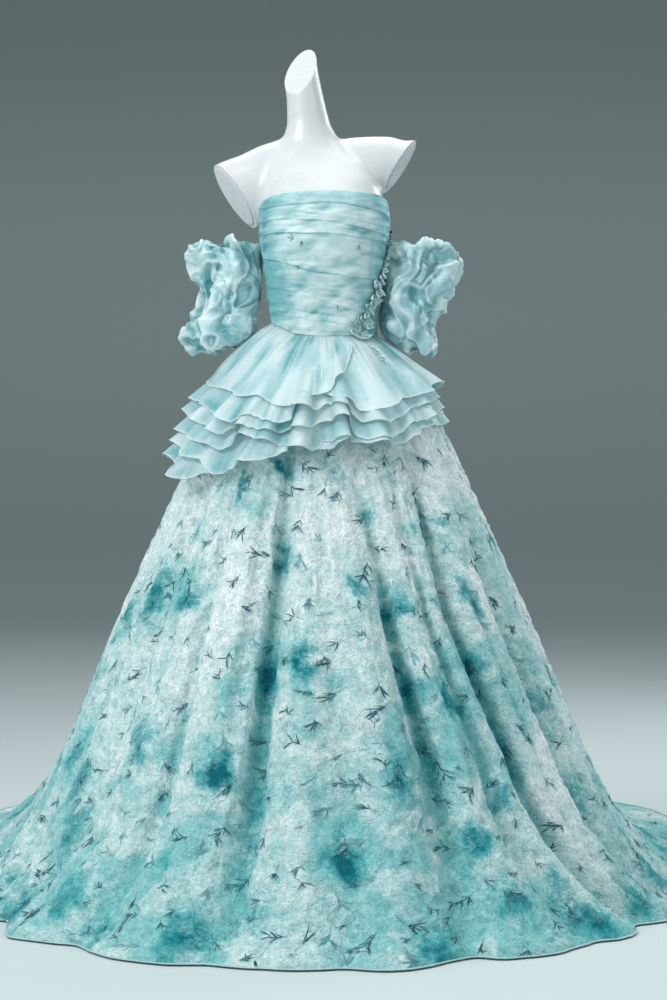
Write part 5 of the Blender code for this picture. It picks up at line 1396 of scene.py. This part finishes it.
def pinch_folds(points, out, side, draw):
    """Folds that fan out from each pinched hollow of a sleeve: their height from -1 to 1."""
    fan = np.zeros(points.shape[:2])
    for angle, place_down, _, _, reach in CRUMPLES_LEFT if side < 0 else CRUMPLES_RIGHT:
        if reach > 0:
            continue
        centre, beside, below = (sleeve_point(side, np.array(angle + da), np.array(place_down + dv))
                                 for da, dv in ((0.0, 0.0), (1.0, 0.0), (0.0, 0.01)))
        across = (beside - centre) / np.linalg.norm(beside - centre)
        along = (below - centre) / np.linalg.norm(below - centre)
        offset = points - centre
        a, b = offset @ across, offset @ along
        away = np.sqrt(np.sum(offset * offset, axis=-1)) / FAN_REACH
        count = int(draw.choice((3, 4, 5)))
        turn = (count * np.arctan2(b, a) + draw.uniform(0, 6)) / 2
        wave = 1 - 2.2 * np.abs(np.sin(turn + 0.36 * away)) ** 0.8
        facing = np.cross(along, across)
        same_face = soft_step(out @ facing, 0.1, 0.6)
        fan = fan + wave * away * np.exp(1 - away) * (away < 6) * same_face
    return np.clip(fan, -1.4, 1.4)


def sleeve_cloth(name, side, seed):
    """One crumpled puff sleeve with a rolled hem at each lip."""
    draw = np.random.RandomState(seed)
    t, v = np.meshgrid(np.arange(0, 360, 1.5), np.linspace(0, 1, 142), indexing="ij")
    points = sleeve_point(side, t, v)
    out = grid_normals(points, True)
    swirl = noise_vectors(points, 0.055, (seed, seed + 1, seed + 2))
    lobes = np.abs(noise3(points + swirl * 0.024, (0.048, 0.048, 0.064), seed + 4))
    lobes = np.clip(lobes * 2.6 - 0.5, -0.5, 0.9)
    large = crests(points + swirl * 0.034, (0.046, 0.046, 0.078), seed + 5)
    medium = crests(points + swirl * 0.034, (0.025, 0.025, 0.046), seed + 6)
    small = noise3(points + swirl * 0.020, (0.009, 0.009, 0.022), seed + 7)
    laps = [lapped_folds(points + swirl * 0.040, scale, seed + 20 + k) for k, scale in enumerate(LAP_SCALES)]
    edges, painted_lap_shadow, lines = (sum(share * lap[k] for share, lap in zip(LAP_SHARES, laps)) for k in range(3))
    fan = pinch_folds(points, out, side, draw)
    pleats = plane_noise(np.cos(np.radians(t)) * 6 + 9, np.sin(np.radians(t)) * 6, 1.0, 1.0, seed + 9)
    lips = np.exp(-((v - 0.04) / 0.09) ** 2) + np.exp(-((v - 0.97) / 0.07) ** 2)
    lift = 0.0052 * lobes + 0.0028 * large + 0.0014 * medium + 0.0004 * small
    lift = lift + 0.0030 * fan + 0.0066 * (edges - 0.6)
    lift = np.clip(lift, -0.011, 0.013) * (1 - 0.55 * lips) + 0.0060 * pleats * lips
    lift = lift * (1 - 0.85 * bump(t, -90 * side, 62))
    points = points + out * lift[..., None]
    # Tint of the sleeve: painted light on the lobes, crests and lapped edges, painted shade in the valleys,
    # beside each lapped fold and at the top lip, and painted highlights along the crest lines
    light = 0.46 + 0.14 * lobes + 0.10 * large + 0.10 * medium + 0.22 * small + 0.14 * fan + 0.16 * edges
    painted_fold_shade = 0.80 * painted_lap_shadow + 0.45 * np.exp(-((lobes + 0.5) / 0.14) ** 2)
    painted_fold_shade = painted_fold_shade + np.clip(-0.25 * medium - 0.30 * fan - 0.25, 0, 1)
    painted_fold_shade = np.clip(painted_fold_shade + 0.5 * np.exp(-v / 0.03), 0, 1)
    painted_highlight = np.clip(0.66 * lines + 0.5 * np.clip(large + 0.2 * lobes - 0.72, 0, 1), 0, 1)
    tint = np.stack([np.clip(light, 0, 1), painted_fold_shade, painted_highlight], axis=-1)
    made = cloth(name + "_cloth", points, PUFF, "sheer_organza", (name,), closed=True, tint=tint)
    hems = []
    for end, label in ((0, "upper"), (-1, "lower")):
        line = np.vstack([points[:, end], points[:1, end]])
        hems.append(cord(name + "_" + label + "_hem", line, SLEEVE_HEM_RADIUS, HEM, "sheer_organza"))
    return made, name, hems


sleeve_sheets = [sleeve_cloth("puff_sleeve_left", -1, 300), sleeve_cloth("puff_sleeve_right", 1, 320)]


def bodice_outer_radius(t, z):
    """Radius of the pleated bodice at an angle and height, read along the panel's own levels."""
    t, z = np.broadcast_arrays(np.asarray(t, float), np.asarray(z, float))
    levels = np.linspace(0, 1, 91)
    radius = np.zeros(t.shape)
    for place in np.ndindex(t.shape):
        column = bodice_point(np.full(levels.shape, t[place]), levels)
        radius[place] = np.interp(z[place], column[:, 2], np.hypot(column[:, 0], column[:, 1]))
    return radius


def trim_surface(t, z):
    """Outer face under the applique: bodice above the waist seam, the right flounce below it."""
    tier = tier_radius("peplum_flounce_right", t, np.minimum(z, waist_z(t) - 0.0004))
    cloth = np.maximum(bodice_outer_radius(t, z), bodice_outer_radius(t, z - 0.004)) + 0.0007
    share = np.clip((waist_z(t) + 0.006 - z) / 0.006, 0, 1)
    return np.maximum(cloth, tier * share)


def on_surface(t, z, rise):
    """Point on the cloth under the trim, raised off it."""
    t = np.asarray(t, float)
    z = np.asarray(z, float)
    return round_point(trim_surface(t, z) + rise, t, z)


def ring_loft(name, rings):
    """Closed body through a list of rings of equal count, capped flat at both ends."""
    count = len(rings[0])
    vertices = [point for ring in rings for point in ring]
    faces = []
    for k in range(len(rings) - 1):
        for i in range(count):
            j = (i + 1) % count
            faces.append((k * count + i, k * count + j, (k + 1) * count + j, (k + 1) * count + i))
    faces.append(tuple(range(count))[::-1])
    faces.append(tuple((len(rings) - 1) * count + i for i in range(count)))
    mesh = plain_mesh(name, vertices, faces)
    work = bmesh.new()
    work.from_mesh(mesh)
    bmesh.ops.recalc_face_normals(work, faces=work.faces)
    work.to_mesh(mesh)
    work.free()
    return into_scene(name, mesh)


# Dress form: height, centre x, centre y, half width, depth to the front, depth to the back
FORM_SECTIONS = (
    (FORM_BOTTOM - 0.03, 0.000, 0.0, 0.146, 0.094, 0.104),
    (0.860, 0.000, 0.0, 0.160, 0.098, 0.114),
    (0.920, 0.000, 0.0, 0.164, 0.098, 0.118),
    (0.980, 0.000, 0.0, 0.150, 0.094, 0.110),
    (1.025, 0.000, 0.0, 0.120, 0.086, 0.092),
    (1.060, 0.000, 0.0, 0.0975, 0.0800, 0.0790),
    (1.110, 0.000, 0.0, 0.0980, 0.0820, 0.0791),
    (1.150, 0.000, 0.0, 0.1055, 0.0890, 0.0796),
    (1.200, 0.000, 0.0, 0.1112, 0.1010, 0.0826),
    (1.240, 0.000, 0.0, 0.1156, 0.1120, 0.0856),
    (1.276, 0.000, 0.0, 0.1202, 0.1170, 0.0881),
    (1.305, 0.000, 0.0, 0.1215, 0.1140, 0.0896),
    (1.340, -0.002, 0.0, 0.1190, 0.1030, 0.0890),
    (1.375, -0.006, 0.005, 0.1150, 0.0850, 0.0850),
    (1.410, -0.012, 0.012, 0.1000, 0.0680, 0.0740),
    (1.440, -0.020, 0.017, 0.0760, 0.0560, 0.0640),
    (1.465, -0.026, 0.020, 0.0560, 0.0500, 0.0570),
    (1.495, -0.030, 0.020, 0.0430, 0.0470, 0.0500),
    (1.540, -0.036, 0.015, 0.0375, 0.0450, 0.0460),
    (1.590, -0.045, 0.009, 0.0350, 0.0430, 0.0430),
    (1.665, -0.052, 0.003, 0.0320, 0.0410, 0.0410),
)
# Arm cuts: centre, direction of the long half width, direction the cut faces, long and short half width
ARM_CUTS = {
    "left": ((-0.1765, 0.024, 1.356), (0.556, 0.0, -0.831), (-0.75, -0.35, -0.50), 0.0735, 0.040),
    "right": ((0.151, 0.014, 1.415), (-0.527, 0.0, -0.850), (0.83, -0.18, -0.515), 0.0590, 0.037),
}


def form_ring(section, count):
    """Ring of the form at one height, squarer below the neck."""
    z, cx, cy, half, front, back = section
    ring = []
    for k in range(count):
        a = 2 * math.pi * k / count
        depth = front if math.cos(a) > 0 else back
        power = 2.25 if z < 1.44 else 2.0
        r = ((abs(math.sin(a)) / half) ** power + (abs(math.cos(a)) / depth) ** power) ** (-1 / power)
        ring.append((cx + r * math.sin(a), cy - r * math.cos(a), z))
    return ring


def unit(v):
    v = np.asarray(v, float)
    return v / np.linalg.norm(v)


def cut_frame(side):
    """Centre, long, short and facing directions of an arm cut, with its two half widths."""
    centre, major, normal, high, deep = ARM_CUTS[side]
    normal = unit(normal)
    major = unit(np.asarray(major) - np.dot(major, normal) * normal)
    minor = unit(np.cross(normal, major))
    return np.asarray(centre, float), major, minor, normal, high, deep


def oval_ring(middle, first, second, count):
    """Ring round a middle point with two half widths."""
    turns = [2 * math.pi * k / count for k in range(count)]
    return [tuple(middle + first * math.cos(a) + second * math.sin(a)) for a in turns]


def arm_stub_rings(side, count):
    """Rings from inside the chest out past the arm cut."""
    centre, major, minor, normal, high, deep = cut_frame(side)
    sign = -1 if side == "left" else 1
    root = np.array((-0.022 + sign * 0.052, 0.018, 1.388))
    rings = []
    for share, tall, wide in ((0.0, 0.082, 0.95), (0.3, 0.080, 1.02), (0.6, 0.074, 1.06), (0.85, 0.5, 1.03),
                              (1.0, 1.0, 1.0), (1.25, 1.0, 0.98)):
        if share >= 0.8:
            tall = high if share >= 1.0 else high + 0.001
        tall = tall / high
        middle = root + (centre - root) * share
        turn = min(share, 1.0) ** 0.8
        up = unit(np.array((sign * -0.10, 0.0, -1.0)) * (1 - turn) + major * turn)
        across = unit(np.array((0.0, 1.0, 0.0)) * (1 - turn) + minor * np.sign(minor[1]) * turn)
        if share > 1.0:
            middle = centre + normal * 0.03
        rings.append(oval_ring(middle, up * high * tall, across * deep * wide, count))
    return rings


def apply_modifiers(made):
    graph = bpy.context.evaluated_depsgraph_get()
    baked = bpy.data.meshes.new_from_object(made.evaluated_get(graph))
    made.modifiers.clear()
    made.data = baked


def combine(made, other, operation):
    """Joins another body on, or cuts it away, and removes it."""
    change = made.modifiers.new("change", "BOOLEAN")
    change.operation = operation
    change.solver = "EXACT"
    change.object = other
    apply_modifiers(made)
    bpy.data.objects.remove(other, do_unlink=True)


def slice_off(made, point, normal):
    """Cuts away what lies beyond a plane and closes the cut with a flat face."""
    work = bmesh.new()
    work.from_mesh(made.data)
    geometry = work.verts[:] + work.edges[:] + work.faces[:]
    result = bmesh.ops.bisect_plane(work, geom=geometry, plane_co=point, plane_no=normal, clear_outer=True)
    edges = [item for item in result["geom_cut"] if isinstance(item, bmesh.types.BMEdge)]
    bmesh.ops.contextual_create(work, geom=edges)
    bmesh.ops.recalc_face_normals(work, faces=work.faces)
    work.to_mesh(made.data)
    work.free()


# Raised leaf trim on the viewer's right of the bodice
VINE_PATH = (
    (84, 1.262), (81, 1.252), (78, 1.240), (75, 1.228), (71, 1.214), (67, 1.202), (64, 1.190), (61, 1.178),
    (60, 1.164), (60, 1.152), (58, 1.140), (54, 1.131), (51, 1.121), (49, 1.111), (47, 1.101), (44, 1.093),
    (43, 1.0875),
)


def trim_frame(t, z, lift):
    """Point on the cloth under the trim with its sideways, downward and outward directions."""
    t = float(t)
    z = float(z)
    here = on_surface(np.array(t), np.array(z), lift)
    beside = on_surface(np.array(t + 1.0), np.array(z), lift) - here
    below = on_surface(np.array(t), np.array(z - 0.004), lift) - here
    beside = beside / np.linalg.norm(beside)
    below = below - beside * np.dot(below, beside)
    below = below / np.linalg.norm(below)
    return here, beside, below, np.cross(below, beside)


class Trim:
    """Collects the leaves of one trim piece into a single mesh."""

    def __init__(self):
        self.vertices, self.faces, self.tints = [], [], []

    def leaf(self, t, z, heading, length, width, lift, curl, tone):
        centre, beside, below, outward = trim_frame(t, z, lift)
        head = math.radians(heading)
        axis = beside * math.cos(head) + below * math.sin(head)
        across = np.cross(outward, axis)
        rows, cols = 9, 7
        base = len(self.vertices)
        for i in range(rows):
            u = i / (rows - 1)
            half = width / 2 * max(math.sin(min(u * 1.04, 1.0) * math.pi) ** 0.75, 0.02)
            for j in range(cols):
                w = (j / (cols - 1) - 0.5) * 2
                cup = 0.32 * width * w * w - 0.10 * width * math.cos(w * 9)
                up = curl * length * u * u + cup * (0.4 + 0.6 * u)
                flat = centre + axis * length * u + across * half * w
                self.vertices.append(flat + outward * (0.0006 + max(up, 0)))
                # Painted light towards the leaf's raised rims, painted shade in its cupped middle and at its
                # base; the blue channel whitens the rim
                painted_highlight = 0.35 + 0.5 * abs(w) + 0.15 * tone
                painted_shade = 0.30 * (1 - abs(w)) ** 2 + 0.25 * (1 - u)
                self.tints.append((min(painted_highlight, 1.0), painted_shade, 0.5 * abs(w) ** 3))
        for i in range(rows - 1):
            for a in range(base + i * cols, base + i * cols + cols - 1):
                self.faces.append((a, a + 1, a + cols + 1, a + cols))

    def ball(self, centre, radius, tone=0.1):
        base = len(self.vertices)
        rings, sides = 7, 10
        for i in range(rings + 1):
            turn = math.pi * i / rings
            for j in range(sides):
                a = 2 * math.pi * j / sides
                way = (math.sin(turn) * math.cos(a), math.sin(turn) * math.sin(a), math.cos(turn))
                self.vertices.append(centre + radius * np.array(way))
                self.tints.append((tone, 0.5, 0.0))
        for i in range(rings):
            for j in range(sides):
                k = (j + 1) % sides
                self.faces.append((base + i * sides + j, base + (i + 1) * sides + j, base + (i + 1) * sides + k,
                                   base + i * sides + k))

    def build(self, name, surface, nodes):
        return faces_piece(name, self.vertices, self.faces, surface, np.array(self.tints), nodes)


# The vine's leaves are smaller above this height
SMALL_LEAVES_FROM = 1.205
draw = np.random.RandomState(71)
vine = Trim()
for k, (t, z) in enumerate(VINE_PATH[:-1]):
    small = 0.62 if z > SMALL_LEAVES_FROM else 1.0
    for turn in (draw.uniform(150, 215), draw.uniform(-35, 30), draw.uniform(50, 130)):
        size = draw.uniform(0.0150, 0.0230) * small
        vine.leaf(t + draw.uniform(-2.0, 2.0), z + draw.uniform(-0.003, 0.003), turn + 8 * math.sin(k), size,
                  size * 0.60, 0.0012 + draw.uniform(0, 0.0016), draw.uniform(0.10, 0.50), draw.uniform(0, 1))
vine.build("applique_vine_leaves", LEAF, ("applique_vine",))

# Heading and length of each leaf round the bow's middle
BOW_LEAVES = (
    (8, 0.021), (-34, 0.018), (172, 0.019), (203, 0.024), (238, 0.017), (70, 0.017), (112, 0.019),
    (-72, 0.015), (146, 0.015),
)
bow = Trim()
for turn, size in BOW_LEAVES:
    bow.leaf(43.0, 1.068, turn, size, size * 0.66, 0.0012, draw.uniform(0.15, 0.45), draw.uniform(0, 1))
bow.build("applique_bow_leaves", LEAF, ("applique_bow",))

# Angle, height, heading and length of each leaf down the tail
TAIL_LEAVES = (
    (43.5, 1.052, 100, 0.014), (44.5, 1.046, 70, 0.013), (43.6, 1.040, 115, 0.012), (45.0, 1.033, 80, 0.012),
    (44.2, 1.027, 110, 0.011), (45.2, 1.022, 92, 0.011),
)
tail = Trim()
for t, z, turn, size in TAIL_LEAVES:
    tail.leaf(t, z, turn, size, size * 0.42, 0.0008, 0.18, draw.uniform(0, 1))
tail.build("applique_tail_leaves", LEAF, ("applique_tail",))

# The stem runs down the vine, through the bow and along the tail
stem_path = [(t + 0.6, z) for t, z in VINE_PATH] + [(43.0, 1.068), (44.5, 1.045), (45.2, 1.020)]
stem_line = np.array([on_surface(np.array(float(t)), np.array(z), 0.0012) for t, z in stem_path])
keys = np.arange(len(stem_line))
fine_keys = np.linspace(0, len(stem_line) - 1, 160)
stem_line = np.stack([smooth_table(fine_keys, keys, stem_line[:, k]) for k in range(3)], axis=-1)
cord("applique_stem", stem_line, STEM_RADIUS, STEM, "applique_leaf", 6)
beads = Trim()
for t, z in ((86.5, 1.281), (86.5, 1.273), (85.5, 1.267)):
    beads.ball(on_surface(np.array(t), np.array(z), 0.0036), 0.0030 if z > 1.28 else 0.0020)
for t, z in VINE_PATH[2::3]:
    beads.ball(on_surface(np.array(t + 1.2), np.array(z), 0.0030), 0.0013)
beads.build("side_beads", BEAD, ("side_bead",))

# Smooth dress form in place of its coarse solid
shell_form = ring_loft("form_loft", [form_ring(section, 72) for section in FORM_SECTIONS])
for arm in ("left", "right"):
    combine(shell_form, ring_loft("arm_stub_" + arm, arm_stub_rings(arm, 48)), "UNION")
cast = shell_form.modifiers.new("even_skin", "REMESH")
cast.mode = "VOXEL"
cast.voxel_size = FORM_SKIN
cast.use_smooth_shade = True
soften = shell_form.modifiers.new("soften", "SMOOTH")
soften.factor = 0.5
soften.iterations = 12
apply_modifiers(shell_form)
for arm in ("left", "right"):
    centre, major, minor, flat_normal, high, deep = cut_frame(arm)
    cutter_rings = []
    for reach in (0.0, 0.09):
        middle = centre + flat_normal * reach
        cutter_rings.append(oval_ring(middle, major * (high + 0.012), minor * (deep + 0.016), 24))
    combine(shell_form, ring_loft("arm_cutter", cutter_rings), "DIFFERENCE")
slice_off(shell_form, (-0.046, -0.002, 1.586), (-0.52, -0.66, 0.54))
slice_off(shell_form, (0, 0, FORM_BOTTOM), (0, 0, -1))
shell_form.name = "dress_form_shell"
shell_form.data.name = "dress_form_shell"
shell_form.data.materials.clear()
shell_form.data.materials.append(FORM)
for face in shell_form.data.polygons:
    face.material_index = 0
    face.use_smooth = len(face.vertices) < 8
finish_piece(shell_form, ("dress_form_torso",))
PAINTED = {"arm_cap_left": FORM, "arm_cap_right": FORM, "stand_base": STAND, "stand_pole": STAND}
for node, surface in PAINTED.items():
    for slot_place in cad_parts[node].material_slots:
        slot_place.material = surface


# Studio: pale floor that curves up into the wall, its colour changing with depth and height and darkest up the
# wall
FLOOR_END = 8.6
BEND = 2.6
profile = [(-7.0, 0.0), (-3.0, 0.0), (0.0, 0.0), (3.0, 0.0), (6.0, 0.0)]
for turn in range(0, 91, 6):
    a = math.radians(turn)
    profile.append((FLOOR_END + BEND * math.sin(a), BEND * (1 - math.cos(a))))
profile += [(FLOOR_END + BEND, BEND + rise_up) for rise_up in (1.0, 3.0, 7.0)]
studio = np.array([[(x, y, z - STUDIO_DROP) for y, z in profile] for x in np.linspace(-12, 12, 13)])
wide, deep = studio.shape[:2]
corners = [i * deep + j for i in range(wide - 1) for j in range(deep - 1)]
squares = [(a, a + deep, a + deep + 1, a + 1) for a in corners]
mesh = plain_mesh("studio_sweep", studio.reshape(-1, 3), squares)
sweep = into_scene("studio_sweep", mesh)
wall, tree, shader = surface_nodes("studio_paint", 0.9)
where = place(tree, "ShaderNodeTexCoord")
axes = place(tree, "ShaderNodeSeparateXYZ")
tree.links.new(where.outputs["Object"], axes.inputs["Vector"])
run = scaled(tree, axes.outputs["Y"], 0.055, scaled(tree, axes.outputs["Z"], 0.07))
paint = ramp(tree, run, ((0.0, (198, 209, 211)), (0.28, (204, 216, 217)), (0.44, (190, 203, 203)),
                         (0.60, (166, 180, 179)), (0.80, (178, 192, 190)), (0.94, (152, 165, 163))))
tree.links.new(paint, shader.inputs["Base Color"])
mesh.materials.append(wall)
sweep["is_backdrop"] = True

# Square lamps: place, side, power and colour. All face one point.
LIT_POINT = Vector((0, 0.1, 0.8))
LIGHTS = (
    ("key", (-2.7, -2.3, 3.0), 2.2, 122.0, (1.0, 1.0, 1.0)),
    ("fill", (2.9, -2.6, 2.0), 2.2, 34.0, (0.94, 0.99, 1.0)),
    ("top", (0.2, 0.4, 3.9), 2.6, 62.0, (0.97, 1.0, 1.0)),
    ("rim", (2.6, 2.4, 2.6), 1.6, 40.0, (0.95, 1.0, 1.0)),
)
for label, spot, size, power, colour in LIGHTS:
    lamp = bpy.data.lights.new(label, "AREA")
    lamp.shape = "SQUARE"
    lamp.size = size
    lamp.energy = power
    lamp.color = colour
    holder = into_scene(label, lamp)
    holder.location = spot
    holder.rotation_euler = (LIT_POINT - Vector(spot)).to_track_quat("-Z", "Y").to_euler()
world = bpy.data.worlds.new("studio_air")
bpy.context.scene.world = world
world.use_nodes = True
air = world.node_tree.nodes["Background"]
air.inputs["Color"].default_value = (0.80, 0.88, 0.90, 1.0)
air.inputs["Strength"].default_value = 0.38

camera_data = bpy.data.cameras.new("camera")
camera_data.sensor_fit = "VERTICAL"
camera_data.sensor_height = 36.0
camera_data.lens = 69.8
camera_data.dof.use_dof = False
camera_data.clip_end = 60.0
camera = into_scene("camera", camera_data)
camera.location = (0.0186, -3.8, 0.757)
camera.rotation_euler = (math.radians(90), 0, 0)
bpy.context.scene.camera = camera
bpy.context.scene.view_settings.view_transform = "Standard"
bpy.context.scene.view_settings.look = "None"

low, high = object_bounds()
